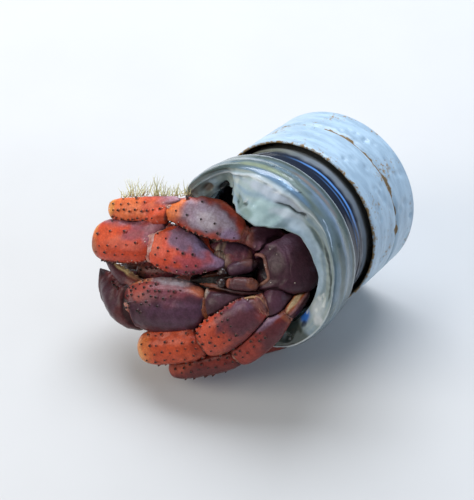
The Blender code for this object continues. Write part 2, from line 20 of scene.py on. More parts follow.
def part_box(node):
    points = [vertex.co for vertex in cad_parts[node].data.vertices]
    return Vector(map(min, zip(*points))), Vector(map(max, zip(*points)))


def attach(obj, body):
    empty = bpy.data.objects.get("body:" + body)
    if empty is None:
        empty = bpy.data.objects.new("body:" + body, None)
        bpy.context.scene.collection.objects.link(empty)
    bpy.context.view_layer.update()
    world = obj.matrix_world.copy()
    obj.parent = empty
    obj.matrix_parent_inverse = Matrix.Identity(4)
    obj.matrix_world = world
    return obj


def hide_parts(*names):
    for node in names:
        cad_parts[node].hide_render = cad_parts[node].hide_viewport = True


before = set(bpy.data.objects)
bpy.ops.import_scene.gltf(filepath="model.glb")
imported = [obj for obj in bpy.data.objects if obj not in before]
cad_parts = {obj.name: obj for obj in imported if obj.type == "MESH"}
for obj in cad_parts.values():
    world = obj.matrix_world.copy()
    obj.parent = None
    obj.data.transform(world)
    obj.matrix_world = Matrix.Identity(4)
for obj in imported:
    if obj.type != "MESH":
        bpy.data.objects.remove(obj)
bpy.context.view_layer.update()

print("nodes in the packed model:", len(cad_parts))

# %% [markdown]
# ## Where everything sits
# All shapes below are written in millimetres, from the floor point under the centre of the glass
# ring. The bottle lies on its side, its mouth towards -Y and tipped up a little, because the wide
# cap rests on the floor. The cap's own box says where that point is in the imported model.

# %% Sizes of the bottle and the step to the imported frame
METRE = 0.001
CAP_RADIUS, CAP_WALL, CAP_START, CAP_END = 19.5, 0.55, 9.0, 28.5
CAP_GROOVE, GROOVE_AT, CAP_ROUND = 0.45, 19.6, 0.8
GLASS_RADIUS, BEAD_RADIUS, BORE_RADIUS = 19.9, 20.4, 15.4
RECESS_RADIUS, FINISH_RADIUS, FINISH_BORE = 18.0, 17.9, 13.8
BOTTLE_TILT = math.radians(15.8)
RING_HEIGHT = 26.2032
# The gap between the end of the glass finish and the cap's top
FINISH_GAP = 0.32
CAP_EDGE_BEND, CAP_RIM_SHARE = 0.3, 0.4

cap_low, cap_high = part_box("screw_cap")
rim_reach = ((CAP_END - CAP_RIM_SHARE * CAP_ROUND) * math.cos(BOTTLE_TILT)
             + (CAP_RADIUS - CAP_EDGE_BEND) * math.sin(BOTTLE_TILT))
ring_foot = Vector(((cap_low[0] + cap_high[0]) / 2 / METRE, cap_high[1] / METRE - rim_reach, 0.0))
to_frame = Matrix.Scale(METRE, 4) @ Matrix.Translation(ring_foot)
bottle_place = Matrix.Translation((0, 0, RING_HEIGHT)) @ Matrix.Rotation(-math.pi / 2 - BOTTLE_TILT, 4, "X")
print("the ring's foot in the packed frame, mm:", [round(value, 3) for value in ring_foot])

# %% [markdown]
# ## Camera
# The photograph looks down at the animal's back from its left front. The camera has the same
# angle and distance, so near parts look as large beside far ones as they do in the picture.

# %% Camera
VIEW_RIGHT = Vector((0.8290, 0.5592, 0.0))
VIEW_UP = Vector((-0.4156, 0.6161, 0.6691))
VIEW_BACK = Vector((0.3742, -0.5547, 0.7431))
AIM_RIGHT, AIM_UP, AIM_BACK = -7.2345, -1.3455, 251.316
LENS, SENSOR, NEAR_CLIP = 86.4, 36.0, 0.01
camera = bpy.data.objects.new("camera", bpy.data.cameras.new("camera"))
camera.data.lens, camera.data.sensor_width, camera.data.clip_start = LENS, SENSOR, NEAR_CLIP
ring_centre = ring_foot + Vector((0, 0, RING_HEIGHT))
eye_point = ring_centre + VIEW_RIGHT * AIM_RIGHT + VIEW_UP * AIM_UP + VIEW_BACK * AIM_BACK
camera.matrix_world = Matrix.Translation(eye_point * METRE) @ Matrix(
    (VIEW_RIGHT, VIEW_UP, VIEW_BACK)).transposed().to_4x4()
bpy.context.collection.objects.link(camera)
bpy.context.scene.camera = camera
print("camera at, m:", [round(value, 4) for value in camera.location])

# %% [markdown]
# ## Colours and nodes
# Colours are picked on a screen, so they are sRGB values. A shader works with linear light, so one
# function turns a hex code into linear values. A second one adds a node with its settings and its
# links. The others name what the finishes below do again and again: a cloudy pattern, a pattern of
# cells, a change of range, a mix of two colours, and a bump.

# %% Colour and node helpers
MIX_FACTOR, MIX_A, MIX_B, MIX_RESULT = 0, 6, 7, 2


@functools.cache
def linear(code):
    """An sRGB hex colour as linear red, green and blue."""
    parts = [int(code[i:i + 2], 16) / 255 for i in (1, 3, 5)]
    return [part / 12.92 if part <= 0.04045 else ((part + 0.055) / 1.055) ** 2.4 for part in parts]


def add_node(tree, kind, settings, inputs):
    """Add one shader node: settings are its properties, inputs are values or links by socket."""
    node = tree.nodes.new("ShaderNode" + kind)
    for name, value in settings.items():
        setattr(node, name, value)
    for name, value in inputs.items():
        if isinstance(value, bpy.types.NodeSocket):
            tree.links.new(value, node.inputs[name])
        else:
            node.inputs[name].default_value = value
    return node


def per_mm(size):
    """The scale that makes one feature of a texture this many millimetres wide."""
    return 1.0 / (size * METRE)


def marked(tree, name, socket="Fac"):
    """What the mesh says in one of its attributes."""
    return add_node(tree, "Attribute", {"attribute_name": name}, {}).outputs[socket]


def clouds_of(tree, place, size, detail, roughness=0.5, distortion=0.0):
    """Soft clouds of a size in millimetres."""
    return add_node(tree, "TexNoise", {}, {"Vector": place, "Scale": per_mm(size), "Detail": detail,
                                           "Roughness": roughness, "Distortion": distortion}).outputs[0]


def cells_of(tree, place, size):
    """Distance from the middle of cells of a size in millimetres."""
    return add_node(tree, "TexVoronoi", {"feature": "F1"},
                    {"Vector": place, "Scale": per_mm(size)}).outputs["Distance"]


def ranged(tree, value, low, high, first=0.0, last=1.0, soft=False):
    """A value's range from low to high turned into first to last, straight or as a soft S."""
    way = {"interpolation_type": "SMOOTHSTEP"} if soft else {}
    return add_node(tree, "MapRange", way, {"Value": value, "From Min": low, "From Max": high,
                                            "To Min": first, "To Max": last}).outputs[0]


def mixed(tree, share, first, second, way="MIX"):
    """Two colours, each a socket or a hex code, mixed or multiplied by a share."""
    tones = [(*linear(tone), 1.0) if isinstance(tone, str) else tone for tone in (first, second)]
    return add_node(tree, "Mix", {"data_type": "RGBA", "blend_type": way},
                    {MIX_FACTOR: share, MIX_A: tones[0], MIX_B: tones[1]}).outputs[MIX_RESULT]


def bumped(tree, strength, depth, height, under=None, sunk=False):
    """A bump of a depth in millimetres, on top of another bump if one is given."""
    inputs = {"Strength": strength, "Distance": depth * METRE, "Height": height}
    if under is not None:
        inputs["Normal"] = under
    return add_node(tree, "Bump", {"invert": sunk}, inputs).outputs[0]


def new_finish(name, **constants):
    """A material with its tree, its Principled shader and its Object coordinates."""
    material = bpy.data.materials.new(name)
    material.use_nodes = True
    tree = material.node_tree
    shader = tree.nodes["Principled BSDF"]
    for socket, value in constants.items():
        shader.inputs[socket.replace("_", " ")].default_value = value
    coords = add_node(tree, "TexCoord", {}, {})
    return material, tree, shader, coords.outputs["Object"]


def wire(tree, shader, colour, roughness, bump=None):
    """Link a finish's colour, roughness and bump to its shader."""
    for socket, value in (("Base Color", colour), ("Roughness", roughness), ("Normal", bump)):
        if value is not None:
            tree.links.new(value, shader.inputs[socket])


print("orange cuticle in linear light:", [round(part, 3) for part in linear("#D2572B")])

# %% [markdown]
# ## Finish of the shell plates
# The plates are calcified cuticle: chitin hardened with lime, which the animal makes new at each
# moult. It is a hard, slightly waxy skin with fine granules. Its colours run into each other in
# soft clouds, so the clouds are painted on the mesh as an attribute, and the shader adds what is
# finer: mottling about 1 mm wide, granules about 0.4 mm apart, and a thin glossy film.

# %% Material: calcified cuticle of the legs and shield
cuticle, tree, shader, place = new_finish("calcified_cuticle", Coat_Weight=0.12, Coat_Roughness=0.22,
                                          Specular_IOR_Level=0.28)
clouds, granules = clouds_of(tree, place, 1.1, 5.0, 0.62), cells_of(tree, place, 0.42)
shaded = mixed(tree, ranged(tree, clouds, 0.38, 0.66, 0.0, 0.38, soft=True),
               marked(tree, "Paint", "Color"), "#9C7A78", "MULTIPLY")
grained = mixed(tree, ranged(tree, granules, 0.30, 0.75, 0.0, 0.22), shaded, "#8A6060", "MULTIPLY")
grain_bump = bumped(tree, 0.5, 0.06, granules, sunk=True)
wire(tree, shader, grained, ranged(tree, clouds, 0.3, 0.7, 0.30, 0.48),
     bumped(tree, 0.6, 0.12, clouds, grain_bump))

# %% [markdown]
# ## Finish of the soft parts
# Between the plates the skin stays soft, so that a joint can bend. It is thin chitin over flesh,
# pale pink to orange and finely wrinkled. The belly that curls into the bottle has the same skin.
# A little light goes into it, so it has some subsurface scattering.

# %% Material: soft skin of joints and belly
soft_skin, tree, shader, place = new_finish("soft_joint_skin", Subsurface_Weight=0.2, Subsurface_Scale=0.0006,
                                            Specular_IOR_Level=0.35)
wrinkles = clouds_of(tree, place, 0.7, 4.0, distortion=0.8)
flushed = mixed(tree, ranged(tree, wrinkles, 0.35, 0.7, 0.0, 0.6), marked(tree, "Paint", "Color"),
                "#B07868", "MULTIPLY")
wire(tree, shader, flushed, ranged(tree, wrinkles, 0.0, 1.0, 0.32, 0.55), bumped(tree, 0.7, 0.15, wrinkles))

# %% [markdown]
# ## Finish of the eyes
# The eye is a compound eye: hundreds of tiny lenses under one clear cornea, dark red-brown and
# wet. At this size only a fine cell pattern and a soft highlight show.

# %% Material: cornea
cornea, tree, shader, place = new_finish("compound_eye_cornea", Coat_Weight=0.4, Coat_Roughness=0.15)
facets = cells_of(tree, place, 0.14)
wire(tree, shader, mixed(tree, ranged(tree, facets, 0.0, 0.7), "#4A261E", "#1C0D0C"),
     ranged(tree, facets, 0.0, 1.0, 0.25, 0.42), bumped(tree, 0.3, 0.03, facets, sunk=True))

# %% [markdown]
# ## Finish of the bristles
# Bristles are stiff hairs of clear chitin. They are pale straw yellow and streaked along their
# length.

# %% Material: bristle chitin
bristle_chitin, tree, shader, place = new_finish("bristle_chitin", Transmission_Weight=0.15)
streaks = clouds_of(tree, place, 0.5, 3.0)
wire(tree, shader, mixed(tree, ranged(tree, streaks, 0.35, 0.65), "#F6F4CC", "#D8D094"),
     ranged(tree, streaks, 0.0, 1.0, 0.35, 0.55))

# %% [markdown]
# ## Finish of the glass
# The bottle is soda-lime glass, blown in a mould, then broken and worn by sand and rain. It is
# pale grey-green. Scratches and etching scatter light, so worn glass looks milky and hides most of
# what is behind it. Inside the finish the bore is painted dark, as painted shade for the unlit inside
# of the bottle. The mesh says where the glass is tinted, where it carries painted highlights,
# reflections and shade, and where it is opaque; the shader adds soft blotches and fine pits.

# %% Material: worn bottle glass
glass, tree, shader, place = new_finish("worn_bottle_glass", IOR=1.52)
opacity_and_shade, blotches = marked(tree, "OpacityAndShade"), clouds_of(tree, place, 2.4, 6.0, 0.6)
worn = mixed(tree, ranged(tree, blotches, 0.36, 0.66, 0.0, 0.28, soft=True), marked(tree, "Paint", "Color"),
             "#A9B8B0", "MULTIPLY")
# Where the mesh marks the painted shade lining and opacity, less light goes through and the glass is duller.
clear = add_node(tree, "Math", {"operation": "MULTIPLY_ADD", "use_clamp": True}, {0: opacity_and_shade, 1: -0.5, 2: 0.5})
tree.links.new(clear.outputs[0], shader.inputs["Transmission Weight"])
etched = ranged(tree, blotches, 0.4, 0.7, 0.03, 0.16)
dulled = add_node(tree, "Math", {"operation": "MULTIPLY_ADD"}, {0: opacity_and_shade, 1: 0.08, 2: etched}).outputs[0]
pit_bump = bumped(tree, 0.25, 0.05, ranged(tree, cells_of(tree, place, 0.9), 0.0, 0.18))
wire(tree, shader, worn, dulled, bumped(tree, 0.25, 0.15, blotches, pit_bump))

# %% [markdown]
# ## Finish of the cap
# The cap is tinplate: thin steel, stamped and painted a pale blue-white. Years outside have
# streaked the paint, pitted it, and let the steel rust wherever it was bent or cut: along the
# front edge and in the rolled groove. The mesh marks those places in an attribute named Rust.

# %% Material: painted tinplate
tinplate, tree, shader, place = new_finish("painted_tinplate", Coat_Weight=0.12, Coat_Roughness=0.3)
rust, ragged = marked(tree, "Rust"), clouds_of(tree, place, 0.9, 6.0, 0.7)
rust_sum = add_node(tree, "Math", {"operation": "ADD"}, {0: rust, 1: ragged}).outputs[0]
rust_mask = ranged(tree, rust_sum, 0.93, 1.08, soft=True)
wrap = add_node(tree, "UVMap", {"uv_map": "Wrap"}, {}).outputs[0]
drawn = add_node(tree, "Mapping", {}, {"Vector": wrap, "Scale": (per_mm(9.0), per_mm(2.2), 1.0)}).outputs[0]
weather = add_node(tree, "TexNoise", {}, {"Vector": drawn, "Scale": 1.0, "Detail": 6.0, "Roughness": 0.66,
                                          "Distortion": 0.1}).outputs[0]
pale = mixed(tree, ranged(tree, weather, 0.35, 0.65, soft=True), "#B4CCDC", "#9AB2C3")
speck_mask = add_node(tree, "Math", {"operation": "LESS_THAN"},
                      {0: cells_of(tree, place, 1.3),
                       1: ranged(tree, ragged, 0.5, 0.75, 0.0, 0.24)}).outputs[0]
pitted = mixed(tree, speck_mask, pale, "#5C5148")
rust_tone = mixed(tree, ranged(tree, rust, 0.45, 1.1), "#93774C", "#2A1E16")
chip_bump = bumped(tree, 0.5, 0.1, ragged)
wire(tree, shader, mixed(tree, rust_mask, pitted, rust_tone), ranged(tree, rust_mask, 0.0, 1.0, 0.36, 0.85),
     bumped(tree, 0.3, 0.3, weather, chip_bump))
print("finishes:", [material.name for material in bpy.data.materials])

# %% [markdown]
# ## From a bmesh to a finished piece
# Every piece ends the same way: its faces are turned to point out, it is smoothed, moved to its
# place in the imported frame, given its material, and the solids it stands for are hidden.

# %% Helper: finish a piece
pieces = {}


def face_outward(bm):
    """Turn every face of a closed bmesh outward."""
    bmesh.ops.recalc_face_normals(bm, faces=bm.faces)
    if bm.calc_volume(signed=True) < 0:
        bmesh.ops.reverse_faces(bm, faces=bm.faces)


def gather(whole, bm):
    """Add one bmesh to another and free it."""
    part = bpy.data.meshes.new("part")
    bm.to_mesh(part)
    bm.free()
    whole.from_mesh(part)
    bpy.data.meshes.remove(part)


def add_piece(name, bm, material, slot, *nodes):
    """Turn a bmesh in millimetres into a finished piece that stands for the named solids."""
    face_outward(bm)
    bm.transform(to_frame)
    mesh = bpy.data.meshes.new(name)
    bm.to_mesh(mesh)
    bm.free()
    mesh.shade_smooth()
    mesh.materials.append(material)
    piece = bpy.data.objects.new(name, mesh)
    bpy.context.collection.objects.link(piece)
    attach(piece, "root")
    if nodes:
        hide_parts(*nodes)
    pieces[name] = piece
    return piece


def smooth_step(value):
    """0 below 0, 1 above 1, and a soft S between."""
    value = min(max(value, 0.0), 1.0)
    return value * value * (3 - 2 * value)


def blend(first, second, share):
    """Part of the way from one list of numbers to another."""
    return [a + (b - a) * share for a, b in zip(first, second)]


# %% [markdown]
# ## The glass neck
# The neck is a thick ring with a deep recess behind it and the finish inside the cap, whose thread
# is hidden and left out. A profile spun all the way round gives the whole of it. Then the front is
# broken: each point ahead of the ring is pulled forward or back by what the broken edge does at its
# angle. Broken glass has smooth shell-shaped waves, sharp edges, and small chips, so those are
# added to the broken face.

# %% The broken edge by angle: 0 is +X, 90 is up
INNER_EDGE = [(-75, 5.6), (-60, 8.2), (-12, 7.9), (11, 7.5), (30, 8.7), (47, 9.4), (60, 11.0), (70, 13.8),
              (79, 15.2), (90, 15.0), (98, 14.2), (107, 12.2), (114, 9.6), (122, 6.4), (130, 5.0),
              (145, 5.0), (160, 4.8), (225, 4.2), (270, 4.8)]
MIDDLE_EDGE = [(-75, 6.0), (-60, 8.8), (-12, 9.4), (4, 7.6), (40, 7.3), (55, 7.8), (68, 9.3), (79, 11.1),
               (95, 11.0), (110, 9.4), (122, 5.8), (131, 4.8), (141, 5.6), (150, 6.4), (165, 4.9),
               (225, 4.5), (270, 5.2)]
OUTER_EDGE = [(-75, 5.4), (-60, 8.6), (-45, 9.3), (-30, 8.8), (5, 9.4), (28, 8.4), (45, 7.6), (130, 7.7),
              (150, 7.8), (158, 6.6), (168, 4.9), (225, 4.4), (270, 5.0)]
LIP_LEAN = [(-75, 0.0), (46, 0.0), (66, 1.2), (79, 2.0), (98, 1.9), (114, 0.6), (124, 0.0)]
FRONT = -6.0
WALL = GLASS_RADIUS - BORE_RADIUS
GLASS_STEPS, CAP_STEPS = 288, 300


def by_angle(table, angle):
    """Read a table at an angle in degrees, smoothly between its named angles."""
    angle = (angle - table[0][0]) % 360 + table[0][0]
    for (low, first), (high, last) in zip(table, table[1:] + [(table[0][0] + 360, table[0][1])]):
        if low <= angle <= high:
            return first + (last - first) * smooth_step((angle - low) / (high - low))
    return table[0][1]


def broken_reach(angle, depth):
    """How far the glass stands ahead of the ring, at a depth of 0 at the bore to 1 outside."""
    inner, middle, outer = (by_angle(table, angle) for table in (INNER_EDGE, MIDDLE_EDGE, OUTER_EDGE))
    return (inner * (1 - depth) * (1 - 2 * depth) + middle * 4 * depth * (1 - depth)
            + outer * depth * (2 * depth - 1))


def spun(profile, closed, steps):
    """Spin a profile of radius and height pairs all the way round Z."""
    bm = bmesh.new()
    verts = [bm.verts.new((radius, 0, height)) for radius, height in profile]
    edges = [bm.edges.new(pair) for pair in zip(verts, verts[1:])]
    if closed:
        edges.append(bm.edges.new((verts[-1], verts[0])))
    bmesh.ops.spin(bm, geom=verts + edges, axis=(0, 0, 1), cent=(0, 0, 0), steps=steps,
                   angle=2 * math.pi, use_merge=True)
    bmesh.ops.remove_doubles(bm, verts=bm.verts, dist=0.0001)
    return bm


def line(first, last, count):
    """Points evenly along a straight line, without its last point."""
    return [tuple(blend(first, last, index / count)) for index in range(count)]


# %% Chips, tints and painted light of the glass
# Chips: angle, depth into the wall, size along the ring in degrees, size across, depth in mm
GLASS_CHIPS = [(136, 0.05, 7.0, 0.26, 1.2), (145, 0.40, 4.0, 0.18, 0.45), (102, 0.20, 3.0, 0.12, 0.35),
               (95, 0.25, 2.5, 0.10, 0.30), (92, 0.08, 3.0, 0.10, 0.25), (60, 0.60, 2.5, 0.09, 0.45),
               (82, 0.72, 1.5, 0.06, 0.2), (22, 0.50, 2.0, 0.08, 0.2), (-8, 0.40, 4.0, 0.15, 0.3),
               (-50, 0.5, 6.0, 0.2, 0.5), (200, 0.5, 6.0, 0.3, 0.6), (248, 0.4, 5.0, 0.25, 0.5)]
CRACK_FROM, CRACK_TO, CRACK_DEPTH = 60, 80, 0.59
RIDGE_AT = [(-75, 0.95), (40, 0.98), (51, 0.90), (62, 0.80), (75, 0.86), (98, 0.90), (110, 0.82), (131, 0.70),
            (160, 0.78), (270, 0.9)]
# Tints and painted light: angle, place across (below 0 in the bore, 0 to 1 over the break, 1 to 2
# back along the outside), half size in degrees, half size across, colour, strength. The near-white
# band from 14 to 66 degrees, the white marks at 82, -10, -16 and -20 degrees, the blue glint at
# -23 degrees and the blue and yellow-green bands along the outside are painted highlights and
# reflections; the black in the chip at 136 degrees is painted shade.
GLASS_TINTS_AND_PAINTED_LIGHT = [(76, 0.28, 15, 0.28, "#C2DAD6", 0.85), (80, 0.72, 22, 0.13, "#D6DCE6", 0.85),
               (128, 0.40, 9, 0.40, "#A9BAB2", 0.7), (150, 0.5, 8, 0.5, "#8C9A90", 0.7),
               (66, 0.42, 10, 0.12, "#F2FBFF", 1.0), (54, 0.27, 11, 0.17, "#E4F5FF", 1.0),
               (38, 0.15, 15, 0.18, "#DDF2FF", 1.0), (14, 0.10, 16, 0.15, "#D2EAFA", 0.95),
               (60, 0.62, 2.2, 0.07, "#3A3A34", 0.85), (42, 0.45, 11, 0.09, "#6A7973", 0.8),
               (26, 0.60, 12, 0.08, "#4C5853", 0.9), (9, 0.70, 9, 0.08, "#54605A", 0.85),
               (136, 0.04, 6.5, 0.22, "#12110D", 1.0), (145, 0.40, 3.5, 0.18, "#7A6450", 0.85),
               (101, 0.20, 5, 0.13, "#71857A", 0.8), (95, 0.25, 2.0, 0.05, "#3C4A42", 0.8),
               (103, 0.14, 1.6, 0.04, "#34423A", 0.8), (91, 0.08, 6, 0.12, "#8AA094", 0.7),
               (82, 0.76, 1.6, 0.03, "#F4FAFC", 0.9), (-10, 0.45, 6, 0.45, "#E8F2F4", 0.8),
               (-16, 0.75, 4, 0.2, "#FAFEFF", 0.95), (-41, 0.5, 12, 0.8, "#3A4636", 0.9),
               (-60, 0.5, 9, 0.7, "#56624C", 0.8), (-23, 0.12, 6, 0.22, "#4186EE", 1.0),
               (-20, 0.06, 1.6, 0.08, "#E6F2FF", 0.9), (-28, 0.34, 3, 0.12, "#10203C", 0.8),
               (80, 1.02, 24, 0.07, "#7B9FC4", 0.85), (98, 1.25, 16, 0.08, "#C3CDA2", 0.8),
               (74, 1.22, 10, 0.06, "#B4C0A8", 0.6), (66, 1.66, 18, 0.05, "#B9A198", 0.75),
               (50, 1.45, 22, 0.08, "#A6BFDE", 0.8), (127, 1.06, 13, 0.16, "#515F55", 0.85),
               (132, 1.60, 16, 0.2, "#9AA894", 0.6), (60, 1.96, 90, 0.05, "#D8E2E6", 0.85),
               (60, 1.84, 90, 0.05, "#66746E", 0.7), (20, 1.30, 22, 0.10, "#5E6C68", 0.7),
               (92, 1.45, 0.9, 0.03, "#241E1A", 0.95), (70, 1.15, 0.7, 0.03, "#3A302A", 0.9)]
# The blue streaks along the ring are a painted sky reflection, and the pale line on the sharp ridge is a
# painted highlight.
FACE_BASE, BEAD_BASE, GLASS_SKY_REFLECTION = linear("#BCCBC8"), linear("#83938B"), linear("#8FAECC")
RIDGE_HIGHLIGHT, CRACK_DARK = linear("#EFF8FC"), linear("#272B25")
# The bore's dark lining is painted shade for the unlit inside of the bottle.
BORE_SHADE_COLOUR, BORE_SHADE_FAR = linear("#1B2026"), linear("#3A3834")
# In the recess, the navy is painted shade and the bright blue a painted sky reflection.
RECESS_NAVY_SHADE, RECESS_SKY_REFLECTION, RECESS_GREY = linear("#141F33"), linear("#6CA6F0"), linear("#838B94")
RECESS_WARM, RECESS_SHADE = linear("#7E7E70"), linear("#4E4E4C")


def angle_between(first, second):
    """The shorter way between two angles, in degrees."""
    return abs((first - second + 180) % 360 - 180)


def ridge_nearness(angle, depth):
    """How close a place on the break is to the sharp ridge that runs along it."""
    return smooth_step(1.4 - abs(depth - by_angle(RIDGE_AT, angle)) / 0.045)


def crack_nearness(angle, depth):
    """How close a place on the break is to the dark crack beside the tongue."""
    inside = smooth_step((angle - CRACK_FROM) / 3) * smooth_step((CRACK_TO - angle) / 6)
    return inside * smooth_step(1.4 - abs(depth - CRACK_DEPTH - 0.002 * (angle - 70)) / 0.03)


def glass_tint_and_painted_light(angle, across, spot):
    """The colour of the front of the glass at an angle and a place across it, with its painted highlights,
    reflections and shade.
    """
    # Painted sky reflection: blue streaks along the ring.
    sky_reflection_streak = noise.noise(Vector((angle * 0.04, across * 7.0, 3.1)))
    base = blend(FACE_BASE, BEAD_BASE, smooth_step((across - 0.88) / 0.14))
    colour = blend(base, GLASS_SKY_REFLECTION, smooth_step(0.5 + 1.6 * sky_reflection_streak) * 0.5)
    for middle, at, half, width, code, strength in GLASS_TINTS_AND_PAINTED_LIGHT:
        away = math.hypot(angle_between(angle, middle) / half, (across - at) / width)
        away += 0.3 * noise.noise(spot * 0.5)
        colour = blend(colour, linear(code), strength * smooth_step((1.35 - away) / 0.7))
    if 0 < across < 1:
        # Painted highlight along the sharp ridge, on the side towards the light.
        lit = smooth_step((150 - angle) / 20)
        colour = blend(colour, RIDGE_HIGHLIGHT, 0.9 * ridge_nearness(angle, across) * lit)
        colour = blend(colour, CRACK_DARK, 0.95 * crack_nearness(angle, across))
    return colour


def recess_tint_and_painted_light(angle, height, spot):
    """The colour of the deep ring behind the collar: navy painted shade by the collar, one blue streak of
    painted sky reflection, then grey.
    """
    wander = 0.25 * noise.noise(Vector((angle * 0.05, 0.0, 5.0)))
    grey = blend(RECESS_GREY, RECESS_WARM, smooth_step((angle - 80) / 40))
    greyness = (height - 5.9 + wander) / 1.2 + 0.3 * noise.noise(spot * 0.6)
    # Navy painted shade by the collar, fading to grey.
    colour = blend(RECESS_NAVY_SHADE, grey, smooth_step(greyness))
    colour = blend(colour, RECESS_SHADE, 0.9 * smooth_step((height - 7.9 + 2 * wander) / 0.6))
    # The bright blue streak and the thin line below it are a painted sky reflection.
    reach = smooth_step(1.5 - angle_between(angle, 60) / 30)
    streak = smooth_step(1.4 - abs(height - 5.3 + wander) / 0.28) * reach
    thin = 0.6 * smooth_step(1.4 - abs(height - 4.3 - wander) / 0.12)
    thin *= smooth_step(1.4 - angle_between(angle, 45) / 26)
    return blend(colour, RECESS_SKY_REFLECTION, max(streak, thin))


# %% Make the glass neck
finish_end = CAP_END - CAP_WALL - FINISH_GAP
glass_profile = (line((FINISH_BORE, finish_end), (FINISH_BORE, 8.5), 10)
                 + line((FINISH_BORE, 8.5), (BORE_RADIUS, 5.5), 4)
                 + line((BORE_RADIUS, 5.5), (BORE_RADIUS, 0), 5)
                 + line((BORE_RADIUS, 0), (BORE_RADIUS, FRONT), 14)
                 + line((BORE_RADIUS, FRONT), (GLASS_RADIUS, FRONT), 30)
                 + line((GLASS_RADIUS, FRONT), (GLASS_RADIUS, 0), 16)
                 + line((GLASS_RADIUS - 0.2, 0), (RECESS_RADIUS, 1.6), 5)
                 + line((RECESS_RADIUS, 1.6), (RECESS_RADIUS, CAP_START - 0.6), 26)
                 + line((RECESS_RADIUS, CAP_START - 0.6), (FINISH_RADIUS, CAP_START + 0.4), 3)
                 + line((FINISH_RADIUS, CAP_START + 0.4), (FINISH_RADIUS, finish_end - 0.5), 8)
                 + line((FINISH_RADIUS, finish_end - 0.5), (FINISH_RADIUS - 0.7, finish_end), 2)
                 + line((FINISH_RADIUS - 0.7, finish_end), (FINISH_BORE, finish_end), 3))
bm = spun(glass_profile, True, GLASS_STEPS)
tints = bm.verts.layers.float_color.new("Paint")
opacity_and_shade_layer = bm.verts.layers.float.new("OpacityAndShade")
for vert in bm.verts:
    radius, height = math.hypot(vert.co.x, vert.co.y), vert.co.z
    angle = -math.degrees(math.atan2(vert.co.y, vert.co.x))
    depth = min(max((radius - BORE_RADIUS) / WALL, 0.0), 1.0)
    spot = vert.co.copy()
    if height < 0:
        ahead = height / FRONT
        reach = broken_reach(angle, depth)
        if height < FRONT + 0.01:
            waves = 0.10 * math.sin(angle * 0.9 + 9 * depth) * noise.noise(spot * 0.5)
            crack = 0.16 * noise.noise(spot * 0.8) + 0.05 * noise.noise(spot * 2.5)
            reach += (waves + crack) * (0.4 + math.sin(math.pi * depth))
            reach += 0.22 * ridge_nearness(angle, depth) - 0.3 * crack_nearness(angle, depth)
            for middle, at_depth, half, across, deep in GLASS_CHIPS:
                away = math.hypot(angle_between(angle, middle) / half, (depth - at_depth) / across)
                reach -= deep * smooth_step(1.4 - away)
        vert.co.z = -reach * ahead
        lean = by_angle(LIP_LEAN, angle) * (1 - depth) * ahead * ahead
        bulge = 0.0
        if depth > 0.99:
            swell = math.sin(math.pi * min(ahead * 1.1, 1.0) * 0.62)
            bulge = (BEAD_RADIUS - GLASS_RADIUS) * swell
            bulge += 0.10 * math.sin(ahead * 14) + 0.05 * noise.noise(spot)
            bulge -= 0.55 * smooth_step((ahead - 0.86) / 0.14)
        vert.co.xy *= (radius - lean + bulge) / radius
    elif height < 9 and radius > BORE_RADIUS + 1:
        vert.co.xy *= 1 + (0.04 * noise.noise(spot * 0.35) + 0.03 * math.sin(height * 3.1)) / radius
    # Opacity and painted shade: the bore inside the finish gets a dark lining of painted shade, and the outer
    # recess and the broken face are made less clear.
    vertex_opacity_and_shade = smooth_step((height - 0.2) / 1.6) if radius < BORE_RADIUS + 0.05 else 0.0
    if radius > BORE_RADIUS + 1 and height > 0:
        vertex_opacity_and_shade = 0.8 * smooth_step((height - 0.6) / 1.0)
    if FRONT * 1.01 < height < FRONT * 0.99:
        vertex_opacity_and_shade = 0.35
    vert[opacity_and_shade_layer] = vertex_opacity_and_shade
    ahead = min(max(height / FRONT, 0.0), 1.0)
    across = depth if 0.01 < depth < 0.99 else (2 - ahead if depth > 0.5 else ahead - 1)
    colour = glass_tint_and_painted_light(angle, across, spot)
    if height > 0.7 and radius > BORE_RADIUS + 1:
        colour = recess_tint_and_painted_light(angle, height, spot)
    # The bore's dark lining colour is painted shade, a little lighter deeper inside.
    bore_shade = blend(BORE_SHADE_COLOUR, BORE_SHADE_FAR, smooth_step(height / 12))
    vert[tints] = (*blend(colour, bore_shade, vertex_opacity_and_shade if radius < BORE_RADIUS + 0.05 and height > 0 else 0.0), 1.0)
bm.transform(bottle_place)
neck = add_piece("glass_neck", bm, glass, "bottle_glass", "bottle_neck")
print("glass neck faces:", len(neck.data.polygons))

# %% [markdown]
# ## The metal screw cap
# The cap is a thin cup, spun from a profile that has its wall on both sides, with a rolled groove
# round its middle and a front edge that turns in a little. Knocks have dented it, so slow noise and
# eighty small dents push its wall in. Where it meets the floor it is cut flat, as the solid is.

